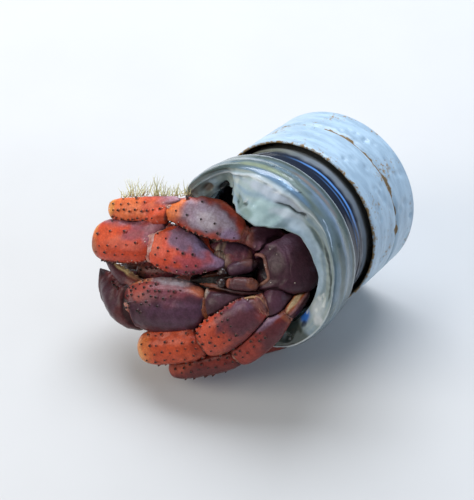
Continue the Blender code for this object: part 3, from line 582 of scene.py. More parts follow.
# %% Make the cap
cap_inner = CAP_RADIUS - CAP_WALL
groove_dip = [(0.8, 0.0), (0.45, -0.5), (0.2, -0.9), (0.0, -1.0), (-0.2, -0.9), (-0.45, -0.5), (-0.8, 0.0)]
outside = ([(CAP_RADIUS - 7.2, CAP_END - 0.25), (CAP_RADIUS - 6.7, CAP_END)]
           + line((CAP_RADIUS - 6.4, CAP_END), (CAP_RADIUS - 1.6, CAP_END), 4)
           + [(CAP_RADIUS - 1.6, CAP_END), (CAP_RADIUS - 0.8, CAP_END - 0.08),
              (CAP_RADIUS - 0.3, CAP_END - 0.32), (CAP_RADIUS - 0.06, CAP_END - 0.56)]
           + line((CAP_RADIUS, CAP_END - CAP_ROUND), (CAP_RADIUS, GROOVE_AT + 1.0), 22)
           + [(CAP_RADIUS + CAP_GROOVE * dip, GROOVE_AT + offset) for offset, dip in groove_dip]
           + line((CAP_RADIUS, GROOVE_AT - 1.0), (CAP_RADIUS, CAP_START + 0.35), 30)
           + [(CAP_RADIUS - 0.04, CAP_START + 0.12), (CAP_RADIUS - 0.2, CAP_START)])
inside = ([(cap_inner + 0.1, CAP_START)]
          + line((cap_inner, CAP_START + 0.4), (cap_inner, GROOVE_AT - 1.0), 6)
          + [(cap_inner + CAP_GROOVE * dip, GROOVE_AT - offset) for offset, dip in groove_dip]
          + line((cap_inner, GROOVE_AT + 1.0), (cap_inner, CAP_END - CAP_WALL), 6)
          + line((cap_inner, CAP_END - CAP_WALL), (0, CAP_END - CAP_WALL), 8) + [(0, CAP_END - CAP_WALL)])
middle = line((0, CAP_END - 0.25), (CAP_RADIUS - 7.2, CAP_END - 0.25), 6)
bm = spun(middle + outside + inside, False, CAP_STEPS)
wrap_map = bm.loops.layers.uv.new("Wrap")
for face in bm.faces:
    turns = [(-math.degrees(math.atan2(loop.vert.co.y, loop.vert.co.x)) + 90) % 360 for loop in face.loops]
    turns = [turn + 360 if max(turns) - turn > 180 else turn for turn in turns]
    for loop, turn in zip(face.loops, turns):
        radius = math.hypot(loop.vert.co.x, loop.vert.co.y)
        loop[wrap_map].uv = (math.radians(turn) * CAP_RADIUS * METRE,
                             (loop.vert.co.z + CAP_RADIUS - radius) * METRE)
DENT_COUNT, DENT_SEED = 80, 5
knocks = random.Random(DENT_SEED)
DENTS = [(knocks.uniform(-40, 140), knocks.uniform(CAP_START + 1.5, CAP_END - 1.5), knocks.uniform(0.5, 1.5),
          knocks.uniform(0.10, 0.34)) for _ in range(DENT_COUNT)]
rusts = bm.verts.layers.float.new("Rust")
for vert in bm.verts:
    spot = vert.co.copy()
    radius, height = math.hypot(spot.x, spot.y), spot.z
    angle = -math.degrees(math.atan2(spot.y, spot.x))
    near_edge = smooth_step((CAP_START + 1.0 - height) / 0.9)
    worn_width = 0.62 + 0.8 * noise.noise(Vector((angle * 0.09, 0.0, 1.7)))
    near_groove = smooth_step((worn_width - abs(height - GROOVE_AT + 0.15)) / 0.35)
    slot_mark = smooth_step(1.3 - math.hypot(angle_between(angle, 24) / 6, (height - GROOVE_AT + 0.1) / 0.4))
    near_rim = 0.35 * smooth_step((1.0 - abs(height - CAP_END + 0.5)) / 0.9)
    near_rim = near_rim if radius > CAP_RADIUS - 1.5 else 0.0
    hidden = 0.6 if radius < cap_inner + 0.12 and height < CAP_END - 0.4 else 0.0
    vert[rusts] = max(0.52 * near_edge, 0.66 * near_groove, 1.4 * slot_mark, near_rim, hidden,
                      0.30 + 0.25 * noise.noise(spot * 0.16))
    if radius > 2:
        dent = 0.16 * noise.noise(spot * 0.13) + 0.10 * noise.noise(spot * 0.33)
        for middle, at, size, deep in DENTS:
            away = math.hypot(math.radians(angle_between(angle, middle)) * CAP_RADIUS, height - at) / size
            if away < 1 and radius > cap_inner - CAP_GROOVE - 0.1:
                dent -= deep * (1 - away * away) ** 2
        dent = (min(dent, 0.02) * smooth_step((CAP_END - height) / 1.5)
                * smooth_step((height - CAP_START) / 1.2 + 0.3))
        vert.co.xy *= (radius + dent) / radius
        if near_edge > 0 and radius > cap_inner - 0.1:
            vert.co.z += 0.22 * noise.noise(spot * 0.6) + 0.10 * noise.noise(spot * 1.7)
bm.transform(bottle_place)
bmesh.ops.bisect_plane(bm, geom=list(bm.verts) + list(bm.edges) + list(bm.faces), plane_co=(0, 0, 0),
                       plane_no=(0, 0, 1), clear_inner=True)
bmesh.ops.holes_fill(bm, edges=[edge for edge in bm.edges if edge.is_boundary], sides=0)
cap = add_piece("metal_cap", bm, tinplate, "cap_paint", "screw_cap")
print("cap faces:", len(cap.data.polygons))

# %% [markdown]
# ## The lengths of the crab
# A crab's leg is a row of hard tubes with soft joints between them. Each tube here starts as a
# sphere whose points are moved onto an oval section, swept along a line that may bow to one side.
# A place on a length is given by t, from 0 at the body end to 1 at the far end, and by an angle
# round it: 0 faces outwards and 90 is the upper edge. Relief and paint both use those places.

# %% A swept length
BACK_UP, RIGHT_FACE = Vector((0.165, -0.451, 0.876)), Vector((0.20, -0.45, 0.87))
LEFT_FACE, CLAW_FACE = Vector((0.45, -0.70, 0.55)), Vector((0.30, -0.75, 0.60))
SHOWN_FULL, HIDDEN_FULL, TIP_FULL = 3.6, 2.8, 2.2


def through(sizes, t):
    """A smooth value through three sizes given at t = 0, 0.5 and 1."""
    first, middle, last = sizes
    return first * (1 - t) * (1 - 2 * t) + middle * 4 * t * (1 - t) + last * t * (2 * t - 1)


class Length:
    """One tube of the body: an oval section swept along a bowed line."""

    def __init__(self, start, end, face, tall, thick, full=HIDDEN_FULL, bow=(0, 0, 0),
                 square=2.0, root_full=None):
        self.start, self.end, self.face = Vector(start), Vector(end), Vector(face)
        self.bend = (self.start + self.end) / 2 + Vector(bow)
        self.tall, self.thick, self.square = tall, thick, square
        self.full, self.root_full = full, root_full or full

    def section(self, t):
        """Centre, direction, side and outward face of the section at t."""
        centre = (1 - t) ** 2 * self.start + 2 * t * (1 - t) * self.bend + t * t * self.end
        along = ((1 - t) * (self.bend - self.start) + t * (self.end - self.bend)).normalized()
        face = (self.face - self.face.dot(along) * along).normalized()
        return centre, along, along.cross(face), face

    def point(self, t, degrees):
        """A point on the surface."""
        centre, _, side, face = self.section(t)
        full = self.root_full if t < 0.5 else self.full
        across, out = math.sin(math.radians(degrees)), math.cos(math.radians(degrees))
        size = (1 - abs(1 - 2 * t) ** full) ** (1 / full)
        size *= (abs(across) ** self.square + abs(out) ** self.square) ** (-1 / self.square)
        return (centre + side * (through(self.tall, t) * size * across)
                + face * (through(self.thick, t) * size * out))

    def outward(self, t, degrees):
        """The direction straight away from the centre line."""
        _, _, side, face = self.section(t)
        turn = math.radians(degrees)
        return (side * (math.sin(turn) / through(self.tall, t))
                + face * (math.cos(turn) / through(self.thick, t))).normalized()

    def ball(self, sides, rings):
        """A sphere moved onto the form, its paint layer, and the t and angle of its points."""
        bm = bmesh.new()
        layer = bm.verts.layers.float_color.new("Paint")
        bmesh.ops.create_uvsphere(bm, u_segments=sides, v_segments=rings, radius=1.0)
        places = {}
        for vert in bm.verts:
            t = min(max((1 - vert.co.z) / 2, 0.0), 1.0)
            places[vert] = (t, math.degrees(math.atan2(vert.co.y, vert.co.x)))
            vert.co = self.point(*places[vert])
        return bm, layer, places


# %% The lengths of the four walking legs
FOOT = -0.22
LEG_JOINTS = {
    "leg_2_right": [(0.8, -1.5, 24.0), (-5.8, -10.0, 26.0), (-20.4, -14.0, 27.0),
                    (-32.7, -17.0, 22.5), (-24.5, -7.0, 10.0), (-17.5, 0.5, FOOT)],
    "leg_3_right": [(2.2, 2.2, 26.5), (-3.0, -5.6, 31.5), (-19.6, -8.6, 33.3),
                    (-32.0, -12.0, 28.4), (-25.5, -2.5, 16.5), (-19.5, 7.5, FOOT)],
    "leg_2_left": [(10.6, -7.0, 21.3), (6.7, -12.8, 24.0), (-2.1, -22.0, 14.0),
                   (-14.4, -26.7, 8.4), (-6.0, -14.5, 4.0), (0.5, -4.5, FOOT)],
    "leg_3_left": [(11.9, -5.0, 24.0), (11.5, -12.0, 22.5), (4.6, -19.0, 11.5),
                   (-7.8, -25.1, 4.5), (0.5, -13.0, 3.0), (7.5, -3.0, FOOT)],
}
LEG_TALL = {
    "leg_2_right": [(2.2, 2.4, 2.2), (2.6, 5.3, 5.0), (4.7, 4.8, 4.3), (2.6, 2.6, 2.0), (1.8, 1.4, 0.6)],
    "leg_3_right": [(2.0, 2.4, 2.2), (2.3, 4.1, 2.7), (2.4, 2.7, 2.3), (2.1, 2.1, 1.7), (1.6, 1.3, 0.6)],
    "leg_2_left": [(3.2, 4.0, 3.4), (3.0, 4.3, 3.8), (3.1, 3.6, 3.4), (2.3, 2.1, 1.8), (1.6, 1.3, 0.6)],
    "leg_3_left": [(1.6, 1.9, 2.0), (2.2, 3.0, 2.8), (2.4, 2.7, 2.5), (1.9, 1.9, 1.7), (1.6, 1.3, 0.6)],
}
LEG_THICK = {
    "leg_2_right": [(1.8, 2.0, 1.8), (2.4, 2.9, 2.8), (3.0, 3.5, 3.2), (2.0, 2.0, 1.7), (1.5, 1.2, 0.5)],
    "leg_3_right": [(1.8, 2.2, 2.0), (1.9, 2.6, 2.1), (2.1, 2.6, 2.4), (1.8, 1.8, 1.5), (1.4, 1.2, 0.5)],
    "leg_2_left": [(2.4, 2.8, 2.6), (2.4, 2.8, 2.7), (2.8, 3.2, 3.0), (1.7, 1.7, 1.5), (1.4, 1.2, 0.5)],
    "leg_3_left": [(1.6, 1.8, 1.9), (2.0, 2.4, 2.4), (2.2, 2.6, 2.4), (1.6, 1.6, 1.5), (1.4, 1.2, 0.5)],
}
LEG_BOW = {"leg_3_right_merus": (-0.6, 1.3, 0.8), "leg_2_right_merus": (0.2, 0.6, 0.5)}
LEG_LENGTHS = ["ischium", "merus", "carpus", "propodus", "dactyl"]
REACH = [0.4, 1.0, 1.0, 0.8, 0.3]
MERUS_ROOT = {"leg_2_right": 2.0, "leg_3_right": 2.3, "leg_2_left": 2.6, "leg_3_left": 2.4}
lengths = {}
for leg, joints in LEG_JOINTS.items():
    for index, part in enumerate(LEG_LENGTHS):
        name = f"{leg}_{part}"
        start, end = Vector(joints[index]), Vector(joints[index + 1])
        along = (end - start).normalized() * REACH[index]
        full = SHOWN_FULL if part in ("merus", "carpus") else HIDDEN_FULL
        bow = LEG_BOW.get(name, (0, 0, 0))
        if part == "dactyl":
            full, bow = TIP_FULL, (0, 0, 1.2)
        face = RIGHT_FACE if "right" in leg else LEFT_FACE
        square = 2.4 if full == SHOWN_FULL else 2.0
        root_full = MERUS_ROOT[leg] if part == "merus" else full
        lengths[name] = [Length(start - along, end + along, face, LEG_TALL[leg][index], LEG_THICK[leg][index],
                                full, bow, square, root_full)]
print("lengths of the walking legs:", len(lengths))

# %% The lengths of the claws
lengths.update({
    "claw_left_merus": [Length((7.0, -6.5, 19.0), (2.2, -11.5, 20.3), CLAW_FACE,
                               (2.6, 3.0, 3.0), (2.6, 3.0, 3.0))],
    "claw_left_carpus": [Length((3.6, -10.6, 21.2), (-5.6, -17.3, 19.0), CLAW_FACE,
                                (3.2, 3.9, 4.2), (3.4, 4.0, 4.2), 3.0)],
    "claw_left_palm": [Length((-3.2, -16.4, 19.0), (-21.6, -23.3, 16.0), CLAW_FACE,
                              (4.2, 5.6, 4.8), (3.8, 4.6, 3.6), 3.2, (0, 0, 0), 2.3),
                       Length((-17.6, -20.6, 17.8), (-31.2, -17.4, 17.4), CLAW_FACE,
                              (2.4, 1.9, 0.7), (2.4, 1.8, 0.7), TIP_FULL, (0.4, -0.8, 0.6))],
    "claw_left_finger": [Length((-15.6, -23.0, 12.4), (-32.2, -18.4, 15.2), CLAW_FACE,
                                (4.4, 4.3, 0.9), (3.0, 2.8, 0.9), TIP_FULL, (-1.2, -2.2, -1.0))],
    "claw_right_merus": [Length((0.2, -5.0, 25.4), (-13.0, -8.4, 24.2), RIGHT_FACE,
                                (3.0, 3.9, 3.2), (2.0, 2.4, 2.2), 3.2)],
    "claw_right_carpus": [Length((-12.0, -8.6, 24.0), (-16.4, -12.4, 19.8), RIGHT_FACE,
                                 (2.2, 2.4, 2.2), (1.9, 2.1, 2.0))],
    "claw_right_palm": [Length((-15.4, -12.2, 19.6), (-24.3, -15.2, 16.6), RIGHT_FACE,
                               (2.2, 2.7, 2.3), (2.0, 2.3, 2.0), 3.0),
                        Length((-22.6, -16.2, 16.2), (-29.4, -16.6, 13.6), RIGHT_FACE,
                               (1.3, 1.1, 0.5), (1.3, 1.1, 0.5), TIP_FULL)],
    "claw_right_finger": [Length((-22.9, -13.6, 16.9), (-29.8, -14.4, 14.2), RIGHT_FACE,
                                 (1.5, 1.3, 0.5), (1.4, 1.2, 0.5), TIP_FULL)],
})

# %% The shield, the head and the parts inside the bottle
for side, root, tip, front in (("right", (1.4, -7.1, 27.7), (-3.0, -11.2, 26.2), (-5.0, -12.8, 25.6)),
                               ("left", (4.2, -11.4, 26.6), (-1.6, -13.8, 25.7), (-4.0, -14.7, 25.3))):
    lengths[f"cornea_{side}"] = [Length(tip, front, RIGHT_FACE, (1.0, 1.35, 1.1), (0.9, 1.2, 1.0), 2.2)]
    lengths[f"eyestalk_{side}"] = [Length(root, Vector(tip).lerp(Vector(front), 0.3), RIGHT_FACE,
                                          (1.4, 1.4, 1.25), (1.1, 1.2, 1.1), 3.0)]
for name, start, end, face, size, bow in (
        ("antenna_left", (4.6, -12.0, 24.6), (-8.0, -15.0, 22.6), LEFT_FACE, (1.0, 0.8, 0.35), (0, -1.0, 1.2)),
        ("antenna_right", (-1.6, -5.6, 23.6), (-9.5, -12.4, 21.2), RIGHT_FACE, (1.0, 0.8, 0.35),
         (0.6, -0.6, 0.8)),
        ("antennule_left", (2.2, -9.4, 24.4), (-4.6, -12.6, 22.2), RIGHT_FACE, (0.7, 0.55, 0.3),
         (0, -0.4, 0.7)),
        ("antennule_right", (0.6, -7.8, 24.0), (-5.6, -11.2, 22.0), RIGHT_FACE, (0.7, 0.55, 0.3),
         (0, -0.4, 0.7)),
        ("maxilliped_left", (-0.2, -9.6, 21.2), (-8.2, -13.6, 19.0), RIGHT_FACE, (1.2, 1.2, 0.5), (0, 0, 0)),
        ("maxilliped_right", (-1.6, -6.4, 20.6), (-9.2, -10.2, 19.0), RIGHT_FACE, (1.2, 1.2, 0.5), (0, 0, 0)),
        ("leg_4_right", (6.2, 4.3, 25.6), (0.0, 4.6, 30.6), BACK_UP, (1.2, 1.1, 0.6), (0, 2.4, 1.6)),
        ("leg_5_right", (7.4, 7.4, 24.2), (0.6, 10.4, 28.6), BACK_UP, (1.0, 0.9, 0.5), (0, 1.4, 1.6)),
        ("leg_4_left", (10.2, -0.6, 21.6), (5.6, 2.6, 14.4), BACK_UP, (1.2, 1.1, 0.6), (1.4, 0.6, -0.6)),
        ("leg_5_left", (9.4, 4.2, 20.4), (2.8, 8.4, 15.0), BACK_UP, (1.0, 0.9, 0.5), (1.2, 1.2, -1.0))):
    lengths[name] = [Length(start, end, face, size, size, 2.4, bow)]
lengths.update({
    "shield": [Length((11.7, 0.4, 29.0), (1.4, -8.8, 26.5), BACK_UP, (6.0, 6.6, 5.0), (3.0, 4.0, 3.0), 3.0)],
    "thorax": [Length((10.4, 3.4, 24.2), (0.5, -6.3, 21.6), BACK_UP, (4.2, 6.0, 4.4), (3.6, 4.4, 3.6))],
    "abdomen_front": [Length((9.4, 5.0, 22.4), (2.0, 17.6, 19.4), BACK_UP, (3.8, 4.3, 3.8), (3.8, 4.3, 3.8),
                             HIDDEN_FULL, (2.2, 1.6, 0))],
    "abdomen_rear": [Length((2.8, 17.4, 19.4), (-8.0, 13.6, 20.4), BACK_UP, (3.6, 3.2, 2.4), (3.6, 3.2, 2.4),
                            2.6, (-1.0, 2.6, 0))],
    "tail_fan": [Length((-7.6, 14.2, 20.2), (-8.6, 8.6, 22.0), BACK_UP, (2.0, 2.2, 1.5), (1.5, 1.5, 1.0), 2.4)],
})
print("lengths in all:", len(lengths))

# %% [markdown]
# ## Paint and relief of each length
# Each line of paint is a soft cloud: its t and angle, its half sizes, a colour and a strength. A
# relief line is a low swelling or hollow at such a place, with its height in millimetres. A teeth
# line is a row of small bumps along an edge, each tip with a painted highlight, and a shift line
# slides the surface along the length, where an end is cut back or drawn out. Those in view follow
# the photograph. Some paint is painted light: lilac and grey on the upper faces of legs is partly
# painted sheen, and a few dark clouds are painted shade.

# %% Looks of the lengths in view
ROUND = 400
LOOKS = {
    "leg_3_right_carpus": {
        "base": "#DE5A36",
        # The grey-purple band along the top and the lilac at the body end are partly the shell's colour and
        # partly painted sheen.
        "paint": [(0.40, 74, 0.55, 34, "#84585E", 0.9), (0.72, -8, 0.36, 62, "#F07C44", 0.9),
                  (0.98, 10, 0.12, 120, "#F3A050", 0.95), (0.05, 50, 0.14, 60, "#B893A4", 0.85),
                  (0.45, -112, 0.60, 30, "#5A2228", 0.9)],
        "relief": [(0.95, 0, 0.08, ROUND, 0.12), (0.30, 60, 0.30, 40, -0.12), (0.45, -80, 0.6, 40, 0.40),
                   (0.60, 90, 0.60, 40, -0.45), (0.12, -78, 0.22, 50, 0.9)],
        "shift": [(0.0, 75, 0.30, 60, -2.6)],
        "teeth": [(-66, 9, 0.20, 9, 0.05, 0.95)]},
    "leg_3_right_merus": {
        "base": "#B0452F",
        # The grey-lilac patch on the upper face and the lilac near the body end are partly the shell's colour
        # and partly painted sky reflection.
        "paint": [(0.50, -6, 0.38, 52, "#967A86", 0.95), (0.43, -12, 0.27, 36, "#B3A5B4", 0.8),
                  (0.44, -14, 0.16, 20, "#C9BFC0", 0.5),
                  (0.92, 5, 0.14, 85, "#EE7C3C", 0.95), (0.13, -38, 0.13, 26, "#A48AAA", 0.9),
                  (0.40, -92, 0.50, 16, "#4A2630", 0.9), (0.35, 80, 0.40, 30, "#B4573C", 0.8),
                  (0.03, 0, 0.07, ROUND, "#A4603E", 0.85)],
        "relief": [(0.50, -5, 0.30, 40, 0.25), (0.03, 0, 0.05, ROUND, -0.30), (0.96, 0, 0.05, ROUND, -0.2),
                   (0.62, -10, 0.12, 12, -0.14), (0.40, 14, 0.14, 9, -0.12), (0.88, 90, 0.24, 50, -1.0),
                   (0.30, 86, 0.20, 36, 0.5)],
        "shift": [(1.0, 75, 0.26, 60, -2.4), (1.0, -60, 0.2, 40, 0.9)],
        "teeth": [(-74, 9, 0.30, 12, 0.05, 0.92)]},
    "leg_3_right_ischium": {
        "base": "#5A3440",
        "paint": [(0.5, -55, 0.5, 26, "#97687A", 0.8), (0.95, 0, 0.10, ROUND, "#8E5144", 0.85),
                  (0.10, 0, 0.10, 60, "#A8623E", 0.7)],
        "relief": [(0.40, -60, 0.50, 50, 0.75), (0.5, 60, 0.4, 40, 0.2)],
        "teeth": [(-62, 16, 0.22, 9, 0.1, 0.9)]},
    "leg_2_right_ischium": {
        "base": "#7C4552",
        "paint": [(0.70, 20, 0.24, 50, "#9C5A62", 0.8), (0.30, -40, 0.35, 60, "#5E3E4C", 0.8),
                  (0.95, 10, 0.10, ROUND, "#AA8C7C", 0.8)],
        "relief": [(0.45, -10, 0.60, 90, 0.35)]},
    "leg_2_right_carpus": {
        "base": "#D04A2A",
        # The grey-purple band along the top and the lilac at the body end are partly the shell's colour and
        # partly painted sheen.
        "paint": [(0.45, 66, 0.46, 38, "#9A7180", 0.9), (0.96, 25, 0.12, 75, "#EE9A46", 0.95),
                  (0.70, 0, 0.25, 40, "#DC5A30", 0.7), (0.92, -60, 0.12, 50, "#8A4A34", 0.6),
                  (0.05, 60, 0.10, 90, "#B48290", 0.75), (0.28, 10, 0.16, 22, "#8A4C5C", 0.7),
                  (0.55, -105, 0.60, 28, "#5E2628", 0.85)],
        "relief": [(0.25, 30, 0.2, 40, -0.15), (0.70, 20, 0.3, 50, 0.18), (0.50, 84, 0.45, 30, 0.12),
                   (0.12, 84, 0.2, 40, 1.0), (0.35, 48, 0.10, 10, -0.12)],
        "shift": [(0.0, 80, 0.28, 50, -2.6)],
        "teeth": [(-72, 8, 0.16, 9, 0.05, 0.6)]},
    "leg_2_right_merus": {
        "base": "#E25638",
        # The lilac patches on the upper face are partly the shell's colour and partly painted sky reflection.
        "paint": [(0.26, -30, 0.30, 40, "#B05462", 0.75), (0.50, 20, 0.27, 34, "#80667C", 0.95),
                  (0.31, 24, 0.20, 30, "#8C7896", 0.8), (0.05, -2, 0.17, 80, "#AE90B0", 0.9),
                  (0.50, 74, 0.34, 22, "#C07C78", 0.8), (0.26, -76, 0.38, 28, "#8A5064", 0.8),
                  (0.90, 10, 0.12, 60, "#E2633A", 0.7)],
        "relief": [(0.45, 10, 0.3, 50, 0.22), (0.97, 0, 0.05, ROUND, -0.25), (0.18, 70, 0.28, 50, -2.3),
                   (0.70, 86, 0.18, 34, 0.8), (0.44, -30, 0.2, 12, -0.12)],
        "shift": [(1.0, 78, 0.30, 50, -3.0), (0.0, -30, 0.25, 50, -0.6)],
        "teeth": [(-76, 9, 0.2, 8, 0.45, 0.95)]},
    "claw_right_merus": {
        "base": "#86485A",
        "paint": [(0.66, 25, 0.16, 40, "#A8937E", 0.9), (0.30, 20, 0.30, 60, "#8A4A58", 0.8),
                  (0.10, -20, 0.15, 60, "#6A3A48", 0.7)],
        "relief": [(0.64, 20, 0.06, 40, 0.45), (0.52, 20, 0.07, 45, -0.35), (0.30, 20, 0.3, 70, 0.5)]},
    "claw_right_carpus": {"base": "#6A3036", "paint": [(0.6, 0, 0.4, 60, "#8E4638", 0.7)]},
    "claw_right_palm": {
        "base": "#6E343C", "paint": [(0.55, 20, 0.35, 60, "#8C4A40", 0.8), (0.3, 60, 0.3, 40, "#5A3440", 0.7),
                                     (0.9, 0, 0.2, ROUND, "#7E5A48", 0.6)]},
    "claw_right_finger": {"base": "#7C4A3C", "paint": [(0.9, 0, 0.2, ROUND, "#3A2020", 0.8)]},
    "claw_left_palm": {
        "base": "#4C2A37",
        "paint": [(0.62, 50, 0.42, 38, "#84383C", 0.9), (0.84, 46, 0.18, 34, "#A44A3C", 0.85),
                  (0.40, 76, 0.25, 16, "#A39A9E", 0.9), (0.14, 68, 0.14, 20, "#C46A44", 0.85),
                  (0.78, 78, 0.10, 16, "#D88A5C", 0.8), (0.36, -4, 0.34, 34, "#66445A", 0.6),
                  (0.5, -72, 0.50, 22, "#6A2C2C", 0.7), (0.02, 0, 0.05, ROUND, "#9A5C38", 0.8),
                  (0.98, 0, 0.05, ROUND, "#6E2626", 0.85)],
        "relief": [(0.45, 82, 0.25, 18, 0.35), (0.04, 0, 0.05, ROUND, -0.3), (0.75, 10, 0.2, 50, 0.2),
                   (0.95, -20, 0.10, 70, 0.5), (0.45, -78, 0.5, 26, 0.4), (0.30, 20, 0.16, 8, -0.14)],
        "teeth": [(74, 8, 0.22, 10, 0.25, 0.92)],
        "shift": [(1.0, -40, 0.12, 80, -1.1)],
        "tip": {"base": "#582E36",
                "paint": [(0.55, 80, 0.40, 36, "#D9C58E", 0.95), (0.20, 40, 0.2, 60, "#8E4A3C", 0.7),
                          (0.97, 0, 0.10, ROUND, "#2A1A1C", 0.8)],
                "relief": [(0.5, 70, 0.4, 20, 0.15)], "teeth": [(84, 12, 0.3, 7, 0.2, 0.9)]}},
    "claw_left_finger": {
        "base": "#4A191C",
        "paint": [(0.35, 20, 0.35, 60, "#5E2829", 0.7), (0.70, 70, 0.30, 34, "#7C3230", 0.8),
                  (0.55, -20, 0.2, 40, "#422A3A", 0.6), (0.97, 0, 0.08, ROUND, "#1E1216", 0.8)],
        "relief": [(0.50, 95, 0.40, 60, 1.5), (0.30, 40, 0.2, 40, 0.25), (0.40, -70, 0.3, 50, -0.5),
                   (0.30, 10, 0.40, 60, 1.1)],
        "teeth": [(60, 10, 0.25, 9, 0.3, 0.9)]},
    "claw_left_carpus": {
        "base": "#4A2A34",
        "paint": [(0.35, 74, 0.60, 15, "#AC5638", 0.9), (0.92, 70, 0.10, 26, "#B3A08E", 0.9),
                  (0.97, 0, 0.06, ROUND, "#935836", 0.8), (0.4, 20, 0.3, 40, "#5C3A46", 0.7)],
        "relief": [(0.90, 72, 0.08, 20, 0.45), (0.4, 60, 0.4, 14, -0.25)]},
    "claw_left_merus": {"base": "#4A2A33", "paint": [(0.6, 60, 0.4, 40, "#80483A", 0.6)]},
    "leg_2_left_ischium": {
        "base": "#4E2C35", "paint": [(0.8, 40, 0.25, 60, "#70465A", 0.6), (0.2, 60, 0.2, 40, "#5E3A40", 0.6)],
        "relief": [(0.5, 30, 0.3, 40, 0.2)]},
    "leg_2_left_merus": {
        "base": "#A8483E",
        # The lilac cloud near the body end, at 46 degrees, is a painted highlight.
        "paint": [(0.78, 20, 0.26, 75, "#D25636", 0.9), (0.34, 8, 0.28, 60, "#5E3844", 0.88),
                  (0.20, 46, 0.16, 24, "#7E5C72", 0.7), (0.06, 30, 0.08, 90, "#8E5A4E", 0.7),
                  (0.50, -60, 0.40, 30, "#7A3A3C", 0.7), (0.85, -60, 0.1, 30, "#B85A3C", 0.6)],
        "relief": [(0.05, 30, 0.05, 100, 0.4), (0.13, 30, 0.05, 100, -0.35), (0.6, 10, 0.3, 50, 0.2)],
        "teeth": [(80, 9, 0.38, 10, 0.2, 0.95)]},
    "leg_2_left_carpus": {
        "base": "#CC5029",
        "paint": [(0.97, -6, 0.09, 80, "#EFC680", 0.95), (0.88, 20, 0.16, 70, "#E2803C", 0.7),
                  (0.08, 10, 0.12, 90, "#A6402C", 0.7), (0.4, -78, 0.6, 30, "#93382B", 0.85),
                  (0.4, 85, 0.6, 18, "#A8483A", 0.7)],
        "relief": [(0.10, 0, 0.05, ROUND, -0.15), (0.55, 10, 0.4, 50, 0.15), (0.50, 88, 0.5, 30, 0.7)],
        "teeth": [(76, 8, 0.2, 10, 0.05, 0.8)]},
    "leg_3_left_ischium": {
        "base": "#5E2A2E", "paint": [(0.5, 30, 0.6, 34, "#C06A3C", 0.95), (0.55, 30, 0.5, 15, "#E2C69A", 0.95),
                                     (0.5, -4, 0.6, 10, "#C88A86", 0.8), (0.5, -60, 0.6, 40, "#4E2226", 0.9)],
        "relief": [(0.5, 2, 0.6, 10, 0.2), (0.5, -70, 0.6, 40, -0.2)]},
    "leg_3_left_merus": {
        "base": "#8C3630",
        # The lilac cloud near the body end is a painted highlight.
        "paint": [(0.24, 50, 0.24, 22, "#A088A4", 0.8), (0.30, -20, 0.30, 50, "#5C2E36", 0.8),
                  (0.75, 20, 0.25, 60, "#A8402E", 0.8), (0.03, 0, 0.06, ROUND, "#B36A4A", 0.7)],
        "relief": [(0.5, 55, 0.4, 20, 0.2)], "teeth": [(62, 10, 0.24, 8, 0.2, 0.9)]},
    "leg_3_left_carpus": {
        # The dark cloud on the lower side is painted shade.
        "base": "#8A3226", "paint": [(0.85, 40, 0.2, 60, "#B8502F", 0.7), (0.3, 70, 0.4, 24, "#5E2A2C", 0.8),
                                     (0.5, -50, 0.6, 50, "#5A2426", 0.8)],
        "teeth": [(66, 10, 0.22, 9, 0.1, 0.9)]},
    "shield": {
        "base": "#5C3442",
        # The dark cloud over the front of the upper face, at t 0.82, is painted shade.
        "paint": [(0.62, 44, 0.36, 44, "#7E5B72", 0.7), (0.15, -30, 0.35, 60, "#40222B", 0.8),
                  (0.82, 0, 0.16, 60, "#3E212B", 0.7), (0.45, -40, 0.3, 40, "#4A2A38", 0.6),
                  (1.0, 0, 0.05, ROUND, "#241116", 0.95)],
        "relief": [(0.55, 0, 0.05, 90, -0.06), (0.72, 86, 0.36, 34, -0.9)],
        "shift": [(0.96, -2, 0.45, 56, -1.9), (1.0, 0, 0.045, ROUND, -2.2), (0.94, -84, 0.2, 30, 0.8)]},
    "eyestalk_right": {
        "base": "#62404C",
        "paint": [(0.25, 40, 0.3, 60, "#8A5A50", 0.7), (0.7, 0, 0.3, 60, "#5A3C4C", 0.7)],
        "relief": [(0.6, 30, 0.4, 90, 0.2)]},
    "eyestalk_left": {
        "base": "#5E3A3E",
        "paint": [(0.12, 20, 0.18, 70, "#94583E", 0.7), (0.5, 40, 0.3, 40, "#7A4A44", 0.7),
                  (0.95, 0, 0.14, 90, "#A0583E", 0.85)],
        "relief": [(0.5, 20, 0.3, 60, 0.15), (0.78, 0, 0.05, 90, -0.2), (0.2, 40, 0.1, 40, 0.2)]},
}
